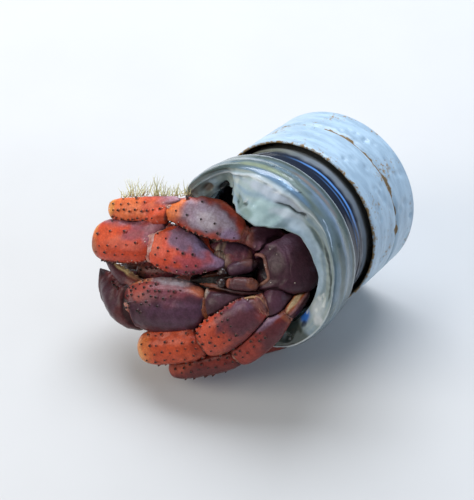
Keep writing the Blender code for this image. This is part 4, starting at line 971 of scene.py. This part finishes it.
PLAIN_LOOKS = {
    "propodus": {
        "base": "#A03E2C",
        "paint": [(0.9, 0, 0.15, ROUND, "#C06438", 0.6), (0.3, 180, 0.4, 60, "#6A3034", 0.6)],
        "teeth": [(60, 12, 0.18, 9, 0.1, 0.9)]},
    "dactyl": {
        "base": "#8E3A2C",
        "paint": [(0.25, 0, 0.2, ROUND, "#A84E34", 0.7), (0.98, 0, 0.16, ROUND, "#1E1412", 0.95)],
        "teeth": [(70, 12, 0.14, 8, 0.1, 0.8), (-110, 12, 0.14, 8, 0.1, 0.8)]},
    "ischium": {"base": "#54303A", "paint": [(0.9, 0, 0.15, ROUND, "#7E4A40", 0.6)]},
    "maxilliped": {"base": "#3C2228", "paint": [(0.8, 0, 0.3, ROUND, "#5C3836", 0.6)]},
    "antenna": {"base": "#4A2628", "paint": [(0.9, 0, 0.3, ROUND, "#7E4630", 0.8)]},
    "antennule": {"base": "#1E1012", "paint": [(0.7, 0, 0.4, ROUND, "#2E1A18", 0.7)]},
    "thorax": {"base": "#55343A", "paint": [(0.3, 0, 0.3, 90, "#7A5048", 0.6)]},
    "abdomen": {
        "base": "#A8705C",
        "paint": [(0.3, 60, 0.4, 50, "#8E5A58", 0.7), (0.7, -40, 0.3, 50, "#B88A72", 0.7)]},
    "tail_fan": {"base": "#7A4A44", "paint": [(0.8, 0, 0.2, ROUND, "#4A2C2C", 0.6)]},
    "leg_4": {"base": "#8E4A38", "paint": [(0.9, 0, 0.2, ROUND, "#4C2A26", 0.7)]},
    "leg_5": {"base": "#8A5040", "paint": [(0.9, 0, 0.2, ROUND, "#4C2A26", 0.7)]},
    "cornea": {"base": "#3A1C18", "paint": [], "relief": [(0.5, 0, 1.0, ROUND, -0.30)]},
}
# Tooth tips get this pale colour as a painted highlight.
TOOTH_HIGHLIGHT = linear("#D9B4A8")
# This dark colour is painted shade where lengths press close, and dirt on the rims.
CREASE_SHADE_AND_DIRT = linear("#1E0E10")
CREASE_REACH, CREASE_DEPTH = 0.55, 0.28


def look_of(name):
    """The look written for a length, or the plain one for its kind."""
    if name in LOOKS:
        return LOOKS[name]
    return next(look for kind, look in PLAIN_LOOKS.items() if kind in name)


def nearness(t, degrees, spot, middle_t, middle_angle, half_t, half_angle, ragged=0.22):
    """1 well inside a place on a length, 0 well outside, with a soft uneven edge."""
    away = math.hypot((t - middle_t) / half_t, angle_between(degrees, middle_angle) / half_angle)
    return smooth_step((1.35 - away + ragged * noise.noise(spot * 0.55)) / 0.75)


def painted(look, t, degrees, spot):
    """The colour of a length at a place, before the shader's finer pattern."""
    colour = linear(look["base"])
    for middle_t, middle_angle, half_t, half_angle, code, strength in look["paint"]:
        share = nearness(t, degrees, spot, middle_t, middle_angle, half_t, half_angle, 0.5)
        colour = blend(colour, linear(code), strength * share)
    return colour


def raised(look, t, degrees, spot):
    """The height of the relief at a place, and how much of it is the tip of a tooth."""
    height = 0.09 * noise.noise(spot * 0.45) + 0.035 * noise.noise(spot * 1.5)
    tooth_tip = 0.0
    for middle_t, middle_angle, half_t, half_angle, rise in look.get("relief", []):
        height += rise * nearness(t, degrees, spot, middle_t, middle_angle, half_t, half_angle)
    for middle_angle, half_angle, rise, count, first, last in look.get("teeth", []):
        along = (t - first) / (last - first)
        if 0 < along < 1:
            across = smooth_step(1.2 - angle_between(degrees, middle_angle) / half_angle)
            tooth = max(math.sin(along * count * 2 * math.pi), 0.0) ** 1.5 * across
            height += rise * tooth
            tooth_tip = max(tooth_tip, smooth_step((tooth - 0.55) / 0.4))
    return height, tooth_tip


# %% [markdown]
# ## Spines
# Low cones with hard black tips stand in rows on the legs and claws. A cone is a small sphere
# stretched to a flared foot and a blunt point, with a few dozen faces, because there are hundreds.
# Each row is its angle round the length, its count and its span.

# %% The rows of spines
SPINE_ROWS = {
    "leg_3_right_carpus": [(34, 2, 0.5, 0.95), (10, 5, 0.3, 0.94), (-24, 9, 0.12, 0.94), (-56, 10, 0.08, 0.92),
                           (-100, 8, 0.1, 0.9), (150, 6, 0.2, 0.9)],
    "leg_3_right_merus": [(24, 2, 0.60, 0.92), (-14, 4, 0.30, 0.92), (-44, 3, 0.12, 0.6), (-74, 10, 0.12, 0.92),
                          (150, 6, 0.2, 0.9)],
    "leg_2_right_carpus": [(50, 2, 0.4, 0.9), (14, 3, 0.3, 0.92), (-18, 5, 0.2, 0.94), (-44, 5, 0.15, 0.94),
                           (-76, 8, 0.1, 0.92), (-120, 6, 0.15, 0.9)],
    "leg_2_right_merus": [(48, 2, 0.70, 0.92), (12, 3, 0.60, 0.94), (-14, 5, 0.40, 0.92), (-38, 5, 0.25, 0.9),
                          (-62, 6, 0.2, 0.9), (-90, 6, 0.2, 0.9)],
    "claw_left_palm": [(72, 3, 0.72, 0.92), (56, 6, 0.55, 0.94), (42, 9, 0.32, 0.94), (27, 8, 0.40, 0.94),
                       (12, 6, 0.55, 0.94), (-6, 4, 0.7, 0.94)],
    "leg_2_left_merus": [(84, 9, 0.2, 0.92), (58, 6, 0.35, 0.94), (34, 6, 0.45, 0.94), (10, 6, 0.45, 0.94),
                         (-16, 5, 0.5, 0.94), (-60, 6, 0.3, 0.9)],
    "leg_2_left_carpus": [(60, 7, 0.10, 0.88), (30, 7, 0.08, 0.92), (2, 7, 0.10, 0.94), (-28, 6, 0.10, 0.92),
                          (-70, 6, 0.1, 0.9)],
    "leg_3_left_merus": [(58, 8, 0.25, 0.92), (30, 6, 0.35, 0.92), (0, 5, 0.4, 0.92)],
    "leg_3_left_carpus": [(50, 8, 0.10, 0.9), (20, 7, 0.1, 0.92), (-10, 7, 0.10, 0.9), (-60, 5, 0.2, 0.9)],
    "claw_right_palm": [(50, 5, 0.2, 0.9), (24, 6, 0.2, 0.92), (-4, 6, 0.2, 0.92), (-30, 5, 0.2, 0.9)],
    "claw_left_finger": [(60, 6, 0.15, 0.7), (30, 5, 0.2, 0.7)],
    "propodus": [(60, 7, 0.1, 0.9), (0, 6, 0.15, 0.9), (-90, 6, 0.15, 0.9), (150, 7, 0.1, 0.9)],
}
SPINE_RADIUS, SPINE_HEIGHT, SPINE_SINK = 0.33, 0.5, 0.3
SPINE_TIP, SPINE_FOOT = linear("#150C0D"), linear("#E0A080")


def add_spine(bm, layer, form, look, t, degrees, size):
    """Add one black-tipped cone to a length's mesh."""
    base, out = form.point(t, degrees), form.outward(t, degrees)
    lift = raised(look, t, degrees, base)[0]
    _, along, _, _ = form.section(t)
    out = (out + along * 0.6).normalized()
    colour = painted(look, t, degrees, base)
    ball = bmesh.ops.create_uvsphere(bm, u_segments=8, v_segments=6, radius=1.0)
    turn = out.to_track_quat("Z", "Y").to_matrix()
    for vert in ball["verts"]:
        up = (vert.co.z + 1) / 2
        width = SPINE_RADIUS * (1.5 - up) if up < 0.5 else SPINE_RADIUS * (2.0 - 2.0 * up)
        flat = Vector((vert.co.x, vert.co.y, 0))
        if flat.length > 1e-6:
            flat = flat.normalized() * width * size
        height = (-SPINE_SINK + (SPINE_SINK + SPINE_HEIGHT) * up) * size
        shade = smooth_step((up - 0.36) / 0.22)
        lower = blend(colour, SPINE_FOOT, 0.25 * smooth_step((up - 0.2) / 0.3))
        vert[layer] = (*blend(lower, SPINE_TIP, shade), 1.0)
        vert.co = base + out * lift + turn @ (flat + Vector((0, 0, height)))


# %% Pale grains that lie on the shell
# Grains: t, angle, how many, spread along in t, spread round in degrees
GRAINS = {
    "claw_left_palm": [(0.84, 26, 7, 0.10, 20), (0.70, 60, 4, 0.2, 14)],
    "shield": [(0.60, -10, 6, 0.28, 50)],
    "leg_3_right_carpus": [(0.50, -64, 12, 0.42, 6), (0.92, -10, 6, 0.03, 50), (0.06, 10, 8, 0.05, 60)],
    "leg_2_right_merus": [(0.50, -74, 7, 0.40, 8)],
    "leg_2_left_merus": [(0.5, 70, 5, 0.4, 10)],
    "leg_3_right_merus": [(0.70, -66, 7, 0.22, 10), (0.95, 20, 5, 0.03, 60)],
    "leg_2_right_carpus": [(0.06, 10, 8, 0.04, 60), (0.20, -70, 5, 0.1, 14)],
    "claw_left_finger": [(0.4, 40, 4, 0.3, 30)],
}
GRAIN_COLOUR = linear("#E6D6C6")


def add_grain(bm, layer, form, t, degrees, size):
    """Add one small pale grain to a length's mesh."""
    base = form.point(t, degrees) + form.outward(t, degrees) * size * 0.5
    for vert in bmesh.ops.create_uvsphere(bm, u_segments=6, v_segments=4, radius=1.0)["verts"]:
        vert.co = base + vert.co * size * (1 + 0.5 * noise.noise(base * 5 + vert.co * 2))
        vert[layer] = (*GRAIN_COLOUR, 1.0)


# %% [markdown]
# ## Build every length
# A length's mesh is the fine sphere on its form. Relief moves its points in or out, paint colours
# them, and where another length presses close the surface dips and is darkened with painted shade,
# which leaves a soft crease between them instead of a hard cut.

# %% Build the lengths
FINE = ((104, 84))
COARSE, TINY, ROUGH = (48, 36), (28, 22), (20, 14)
SPINE_SEED = 7
coarse_balls = {}
for name, forms in lengths.items():
    coarse_balls[name] = []
    for form in forms:
        ball, _, _ = form.ball(*ROUGH)
        face_outward(ball)
        coarse_balls[name].append((BVHTree.FromBMesh(ball), [vert.co.copy() for vert in ball.verts]))
        ball.free()


def boxes_touch(points, others, margin=1.0):
    """Whether the boxes round two lists of points come within a margin."""
    return all(min(p[axis] for p in points) - margin < max(o[axis] for o in others)
               and min(o[axis] for o in others) < max(p[axis] for p in points) + margin for axis in range(3))


def neighbours_of(name):
    """The surfaces of the lengths that come close to this one."""
    mine = [point for _, points in coarse_balls[name] for point in points]
    return [tree for other, balls in coarse_balls.items() if other != name
            for tree, points in balls if boxes_touch(mine, points)]


def closeness(trees, spot):
    """1 on or inside a neighbour's surface, falling to 0 a short way outside it."""
    nearest = CREASE_REACH
    for tree in trees:
        hit, normal, _, distance = tree.find_nearest(spot, 3.0)
        if hit is not None:
            nearest = min(nearest, distance if (spot - hit).dot(normal) > 0 else 0.0)
    return 1 - nearest / CREASE_REACH


def shifted(form, look, t, degrees, spot):
    """How far a place slides along its length, where an end is cut back or drawn out."""
    _, along, _, _ = form.section(t)
    slide = sum(move * nearness(t, degrees, spot, *place) for *place, move in look.get("shift", []))
    return along * slide


draw = random.Random(SPINE_SEED)
for name, forms in lengths.items():
    trees = neighbours_of(name)
    slender = "ant" in name or "leg_4" in name or "leg_5" in name
    detail = FINE if name in LOOKS else TINY if slender else COARSE
    whole = bmesh.new()
    for form in forms:
        look = look_of(name) if form is forms[0] else look_of(name).get("tip", look_of(name))
        bm, layer, places = form.ball(*detail)
        for vert, (t, degrees) in places.items():
            spot = vert.co.copy()
            height, tooth_tip = raised(look, t, degrees, spot)
            if "anten" in name:
                height = 0.10 * math.sin(t * 60)
            if "abdomen" in name:
                height += 0.16 * math.sin(t * 44 + noise.noise(spot * 0.4) * 2.0)
            close = closeness(trees, spot)
            at_end = smooth_step(abs(1 - 2 * t) * 8 - 7)
            out = form.outward(t, degrees)
            vert.co = spot + out * (height * (1 - at_end) - CREASE_DEPTH * close * close)
            vert.co += shifted(form, look, t, degrees, spot)
            vert.co.z = max(vert.co.z, 0.0)
            # Tooth tips get a painted highlight.
            colour = blend(painted(look, t, degrees, spot), TOOTH_HIGHLIGHT, 0.45 * tooth_tip)
            # Where another length presses close, the colour is darkened with painted shade.
            vert[layer] = (*blend(colour, CREASE_SHADE_AND_DIRT, 0.75 * smooth_step(close * 1.2 - 0.2)), 1.0)
        kind = "propodus" if "propodus" in name else name
        first_form = form is forms[0]
        rows = SPINE_ROWS.get(kind, []) if first_form else []
        for row, (degrees, count, first, last) in enumerate(rows):
            for index in range(count):
                t = first + (last - first) * (index + 0.5 * (row % 2)) / count + draw.uniform(-0.02, 0.02)
                angle = degrees + draw.uniform(-6, 6)
                size = draw.uniform(0.6, 1.15)
                top = form.point(t, angle) + form.outward(t, angle) * 0.4
                if t < 0.97 and top.z > 0.8 and closeness(trees, top) == 0:
                    add_spine(bm, layer, form, look, t, angle, size)
        for middle_t, middle_angle, count, half_t, half_angle in GRAINS.get(name, []) if first_form else []:
            for _ in range(count):
                t = middle_t + draw.uniform(-half_t, half_t)
                angle = middle_angle + draw.uniform(-half_angle, half_angle)
                add_grain(bm, layer, form, min(t, 0.97), angle, draw.uniform(0.08, 0.17))
        gather(whole, bm)
    soft = name.startswith("abdomen") or name == "tail_fan"
    finish = cornea if "cornea" in name else soft_skin if soft else cuticle
    dark = (name in ("shield", "thorax") or "ischium" in name
            or name in ("claw_left_merus", "claw_left_carpus", "claw_left_palm"))
    slot = "eye" if "cornea" in name else "soft_body" if soft else "shell_purple" if dark else "shell_orange"
    add_piece(f"shown_{name}", whole, finish, slot, name)
print("pieces so far:", len(pieces))

# %% [markdown]
# ## Between the eyes and the claws
# The space between the head and the claws isn't empty: a soft field lies round the mouth, painted
# near black as painted shade for the deep gap there, and a broad plate of the right claw's arm
# covers the gap beside the second leg. They could be part of their neighbours, but as lengths of
# their own each can have its folds and its colour.

# %% The mouth field between the eyes and the claws
mouth = Length((0.7, -6.8, 21.2), (-11.5, -13.8, 19.2), RIGHT_FACE, (3.0, 3.8, 2.8), (1.4, 1.7, 1.3))
bm, layer, places = mouth.ball(60, 40)
for vert, (t, degrees) in places.items():
    spot = vert.co.copy()
    furrow = 0.16 * math.sin(degrees * 0.11 + 2 * noise.noise(spot * 0.5)) + 0.1 * noise.noise(spot * 1.2)
    vert.co += mouth.outward(t, degrees) * (furrow * (1 - smooth_step(abs(1 - 2 * t) * 8 - 7)))
    # Near black all over: painted shade for the deep gap round the mouth.
    flush = smooth_step(0.3 + 1.5 * noise.noise(spot * 0.7))
    vert[layer] = (*blend(linear("#0C0304"), linear("#220C10"), flush), 1.0)
add_piece("mouth_field_in_painted_shade", bm, soft_skin, "shell_purple")

# %% The broad plate of the right claw arm, between the second leg and the shield
plate = Length((-10.4, -9.2, 26.2), (-0.4, -6.7, 26.9), RIGHT_FACE, (1.9, 3.0, 2.7), (0.9, 1.3, 1.1), 2.8)
PLATE_LOOK = {
    "base": "#7A4552",
    "paint": [(0.55, 50, 0.35, 40, "#9A5664", 0.85), (0.62, -50, 0.35, 45, "#5C4254", 0.85),
              (0.28, 10, 0.06, 60, "#B7A48F", 0.95), (0.17, 40, 0.09, 36, "#A08C7C", 0.8),
              (0.36, -40, 0.05, 34, "#A4907C", 0.7), (0.95, 0, 0.07, ROUND, "#8A5A50", 0.8)],
    "relief": [(0.28, 10, 0.05, 60, 0.35), (0.20, 30, 0.04, 60, -0.3), (0.37, 0, 0.05, 60, -0.25),
               (0.78, -10, 0.05, 50, -0.15)]}
bm, layer, places = plate.ball(84, 64)
for vert, (t, degrees) in places.items():
    spot = vert.co.copy()
    vert.co += plate.outward(t, degrees) * raised(PLATE_LOOK, t, degrees, spot)[0]
    vert[layer] = (*painted(PLATE_LOOK, t, degrees, spot), 1.0)
add_piece("claw_right_plate", bm, cuticle, "shell_purple")

# %% [markdown]
# ## Skin at the joints
# Where two hard tubes meet, the soft skin between them shows as a pale pink band. Each joint has a
# short length of skin that starts inside one tube and ends inside the next, a little thinner than
# both.

# %% Joint skins
SKIN_JOINTS = [(leg + a, leg + b) for leg in ("leg_2_right_", "leg_3_right_", "leg_2_left_", "leg_3_left_")
               for a, b in zip(LEG_LENGTHS, LEG_LENGTHS[1:])]
SKIN_JOINTS += [("claw_left_carpus", "claw_left_palm"), ("claw_left_palm", "claw_left_finger"),
                ("claw_left_merus", "claw_left_carpus"), ("claw_right_merus", "claw_right_carpus"),
                ("claw_right_carpus", "claw_right_palm"), ("claw_right_palm", "claw_right_finger")]
SKIN_COLOURS = {"leg_2_right_merus": ("#E3B9AE", "#B9665A"), "leg_3_right_merus": ("#E3B9AE", "#B9665A"),
                "leg_2_right_ischium": ("#B09C88", "#7C5A54"), "claw_left_carpus": ("#9A5E38", "#7A4030"),
                "leg_3_right_ischium": ("#9E5C4C", "#763C3A")}
PLAIN_SKIN = ("#B98474", "#93503F")
SKIN_SHARES = {"leg_2_right_merus": 0.9, "leg_3_right_merus": 0.93, "leg_3_right_ischium": 0.88}
PLAIN_SHARE = 0.80
SKIN_SHIFTS = {"leg_2_right_merus": (80, 50, -2.8), "leg_3_right_merus": (75, 60, -2.5)}
for first, second in SKIN_JOINTS:
    near, far = lengths[first][0], lengths[second][0]
    start, end = near.section(0.82)[0], far.section(0.18)[0]
    part = SKIN_SHARES.get(first, PLAIN_SHARE)
    tall, thick = ([through(one, 0.9) * part, (one[2] + other[0]) * 0.5 * part, through(other, 0.1) * part]
                   for one, other in ((near.tall, far.tall), (near.thick, far.thick)))
    colours = [linear(code) for code in SKIN_COLOURS.get(first, PLAIN_SKIN)]
    slide_angle, slide_half, slide = SKIN_SHIFTS.get(first, (0, 1, 0.0))
    form = Length(start, end, near.face, tall, thick, 3.0)
    bm, layer, places = form.ball(40, 26)
    for vert, (t, degrees) in places.items():
        spot = vert.co.copy()
        lumps = 0.10 * math.sin(t * 40 + 3 * noise.noise(spot * 0.5)) + 0.14 * noise.noise(spot * 1.3)
        vert.co += form.outward(t, degrees) * lumps
        slid = slide * nearness(0.5, degrees, spot, 0.5, slide_angle, 1.0, slide_half)
        vert.co += form.section(t)[1] * slid
        vert.co.z = max(vert.co.z, 0.05)
        vert[layer] = (*blend(*colours, smooth_step(0.5 + 1.4 * noise.noise(spot * 0.9))), 1.0)
    add_piece(f"joint_skin_{first}", bm, soft_skin, "soft_body")
print("joint skins:", len(SKIN_JOINTS))

# %% [markdown]
# ## Rims and strands
# Some things are best drawn as a line with a thickness: the pale rolled front edge of the shield,
# and every bristle. A curve with a round bevel gives a closed tube that can taper to a point, and
# it is then turned into a mesh.

# %% Helper: tubes along lines


def tubes(name, lines, sides):
    """A bmesh of tapered tubes; each line is a list of points with a radius each."""
    curve = bpy.data.curves.new(name, "CURVE")
    curve.dimensions = "3D"
    curve.bevel_depth = 1.0
    curve.bevel_resolution = sides
    curve.use_fill_caps = True
    for points in lines:
        spline = curve.splines.new("POLY")
        spline.points.add(len(points) - 1)
        for control, (place, radius) in zip(spline.points, points):
            control.co = (*place, 1.0)
            control.radius = radius
    holder = bpy.data.objects.new(name, curve)
    mesh = bpy.data.meshes.new_from_object(holder)
    bm = bmesh.new()
    bm.from_mesh(mesh)
    bmesh.ops.remove_doubles(bm, verts=bm.verts, dist=1e-6)
    bpy.data.objects.remove(holder)
    bpy.data.curves.remove(curve)
    bpy.data.meshes.remove(mesh)
    return bm


# %% The rolled front edge of the shield, and the rim at the root of a leg
RIM_STEPS = 30
# Rims: length, its path as t and angle, radius, first and last colour
RIMS = [("shield", [(0.97, 84), (0.94, 60), (0.935, 20), (0.935, -20), (0.94, -60), (0.96, -92)],
         0.46, "#A8746C", "#9C6A54"),
        ("shield", [(0.985, 56), (0.975, 10), (0.98, -50)], 0.2, "#7E4440", "#6A3A34"),
        ("leg_2_left_merus", [(0.24, 82), (0.10, 78), (0.045, 58), (0.035, 30), (0.05, -6)],
         0.34, "#E0B684", "#A86450"),
        ("claw_left_carpus", [(0.94, 84), (0.945, 40), (0.95, 0), (0.95, -40)], 0.3, "#A8683C", "#7A4030")]


def along_path(path, share):
    """A place along a path of t and angle pairs, at a share of its length."""
    place = share * (len(path) - 1)
    index = min(int(place), len(path) - 2)
    return blend(path[index], path[index + 1], smooth_step(place - index) * 0.5 + (place - index) * 0.5)


whole = bmesh.new()
for owner, path, radius, first_code, last_code in RIMS:
    form = lengths[owner][0]
    rim_line = []
    for index in range(RIM_STEPS + 1):
        share = index / RIM_STEPS
        t, degrees = along_path(path, share)
        spot = form.point(t, degrees)
        spot += shifted(form, LOOKS[owner], t, degrees, spot)
        width = radius * (0.3 + 0.7 * math.sin(math.pi * share) ** 0.5) * (1 + 0.3 * noise.noise(spot * 0.9))
        rim_line.append((spot - form.outward(t, degrees) * 0.03, width))
    bm = tubes("rim", [rim_line], 5)
    layer = bm.verts.layers.float_color.new("Paint")
    for vert in bm.verts:
        nearest = min(range(len(rim_line)), key=lambda index: (vert.co - rim_line[index][0]).length_squared)
        colour = blend(linear(first_code), linear(last_code), nearest / RIM_STEPS)
        dirt = 0.35 * smooth_step(0.2 + 1.6 * noise.noise(vert.co * 0.8))
        vert[layer] = (*blend(colour, CREASE_SHADE_AND_DIRT, dirt), 1.0)
    gather(whole, bm)
add_piece("shell_rims", whole, cuticle, "shell_orange")
print("rims:", len(RIMS))

# %% [markdown]
# ## Bristles
# Straw-coloured bristles stand in eight clumps along the upper edge of the third right leg. They
# fan out and cross each other. Each bristle is a thin tapered tube. Its UV patch, 0.003 across, lies
# where its root is on the leg's unwrap, angle across and t up, so a baked coat keeps its place.

# %% Tufts of bristles
# Clumps: length they stand on, t, count, reach in mm
CLUMPS = [("leg_3_right_carpus", 0.80, 10, 2.2), ("leg_3_right_carpus", 0.64, 18, 3.7),
          ("leg_3_right_carpus", 0.52, 12, 3.2), ("leg_3_right_carpus", 0.32, 20, 3.8),
          ("leg_3_right_carpus", 0.18, 14, 3.0), ("leg_3_right_carpus", 0.05, 10, 2.6),
          ("leg_3_right_merus", 0.90, 14, 2.6), ("leg_3_right_merus", 0.80, 12, 2.4)]
BRISTLE_RADIUS, TUFT_PATCH, BRISTLE_POINTS, BRISTLE_SEED = 0.11, 0.003, 7, 23
hairs = random.Random(BRISTLE_SEED)
bristle_lines = {"leg_3_right_carpus": [], "leg_3_right_merus": []}
for owner, middle_t, count, reach in CLUMPS:
    form = lengths[owner][0]
    for _ in range(count):
        t = min(max(middle_t + hairs.gauss(0, 0.035), 0.05), 0.96)
        degrees = 92 + hairs.uniform(-26, 30)
        _, along, side, face = form.section(t)
        root = form.point(t, degrees) - form.outward(t, degrees) * 0.15
        out = (side + face * hairs.uniform(-0.15, 0.55) + along * hairs.gauss(0, 0.6)).normalized()
        sweep = along * hairs.gauss(0, 0.25) + face * hairs.uniform(-0.1, 0.2)
        height = reach * hairs.uniform(0.65, 1.25)
        points = []
        for step in range(BRISTLE_POINTS):
            share = step / (BRISTLE_POINTS - 1)
            width = BRISTLE_RADIUS * (1.0 - 0.82 * share)
            points.append((root + out * (height * share) + sweep * (height * share * share * 0.5), width))
        bristle_lines[owner].append((points, t, degrees))
for owner, strands in bristle_lines.items():
    bm = tubes("bristles", [points for points, _, _ in strands], 1)
    baked = bm.loops.layers.uv.new("OFBake")
    for face in bm.faces:
        middle = face.calc_center_median()
        nearest = min(range(len(strands)), key=lambda index: min(
            (middle - point).length_squared for point, _ in strands[index][0]))
        points, t, degrees = strands[nearest]
        along = lengths[owner][0].section(t)[1]
        for loop in face.loops:
            spot = loop.vert.co
            ring = min(range(BRISTLE_POINTS), key=lambda index: (spot - points[index][0]).length_squared)
            across = (spot - points[ring][0]).dot(along) / points[ring][1]
            loop[baked].uv = ((degrees % 360) / 360 + TUFT_PATCH * 0.5 * across,
                              t + TUFT_PATCH * (ring / (BRISTLE_POINTS - 1) - 0.5))
    add_piece(f"bristles_{owner}", bm, bristle_chitin, "shell_orange")
print("bristles:", sum(len(strands) for strands in bristle_lines.values()))

# %% [markdown]
# ## Floor and light
# The model stands on a plain pale floor, a wide flat sheet with a matt paint.
# The photograph was taken under open sky, so the light is a large soft panel above and behind the
# subject, a dimmer one from the camera's side, a narrow strip at one side, and a pale grey-blue room.

# %% Floor and light
# Half the floor's side, in metres
FLOOR_HALF = 0.6
bm = bmesh.new()
bmesh.ops.create_grid(bm, x_segments=2, y_segments=2, size=FLOOR_HALF)
mesh = bpy.data.meshes.new("floor")
bm.to_mesh(mesh)
bm.free()
floor = bpy.data.objects.new("floor", mesh)
bpy.context.collection.objects.link(floor)
floor_paint, tree, shader, place = new_finish("matt_floor_paint", Roughness=0.8)
floor_tone = mixed(tree, clouds_of(tree, place, 30, 3.0), "#D6D4D0", "#CFCDC9")
tree.links.new(floor_tone, shader.inputs["Base Color"])
mesh.materials.append(floor_paint)

# Lamps: name, place and size in metres, power in watts, colour
LAMPS = [("sky_panel", (-0.16, 0.22, 0.42), (0.46, 0.26), 3.3, "#EAF2FF"),
         ("front_panel", (-0.22, -0.30, 0.30), (0.30, 0.30), 1.0, "#FFF6EA"),
         ("side_strip", (0.34, 0.10, 0.22), (0.30, 0.05), 0.35, "#CFE2FF")]
LAMP_AIM = Vector((0, 0, 0.02))
ROOM_COLOUR, ROOM_STRENGTH = "#C9D6E4", 0.34
for name, spot, size, power, code in LAMPS:
    lamp = bpy.data.lights.new(name, "AREA")
    lamp.shape = "RECTANGLE"
    lamp.size, lamp.size_y = size
    lamp.energy = power
    lamp.color = linear(code)
    holder = bpy.data.objects.new(name, lamp)
    toward = (LAMP_AIM - Vector(spot)).to_track_quat("-Z", "Y")
    holder.matrix_world = Matrix.Translation(spot) @ toward.to_matrix().to_4x4()
    bpy.context.collection.objects.link(holder)
world = bpy.data.worlds.new("room")
bpy.context.scene.world = world
world.use_nodes = True
sky = world.node_tree.nodes["Background"]
sky.inputs["Color"].default_value = (*linear(ROOM_COLOUR), 1.0)
sky.inputs["Strength"].default_value = ROOM_STRENGTH
bpy.context.scene.view_settings.view_transform = "Standard"
print("lamps:", [name for name, *_ in LAMPS])
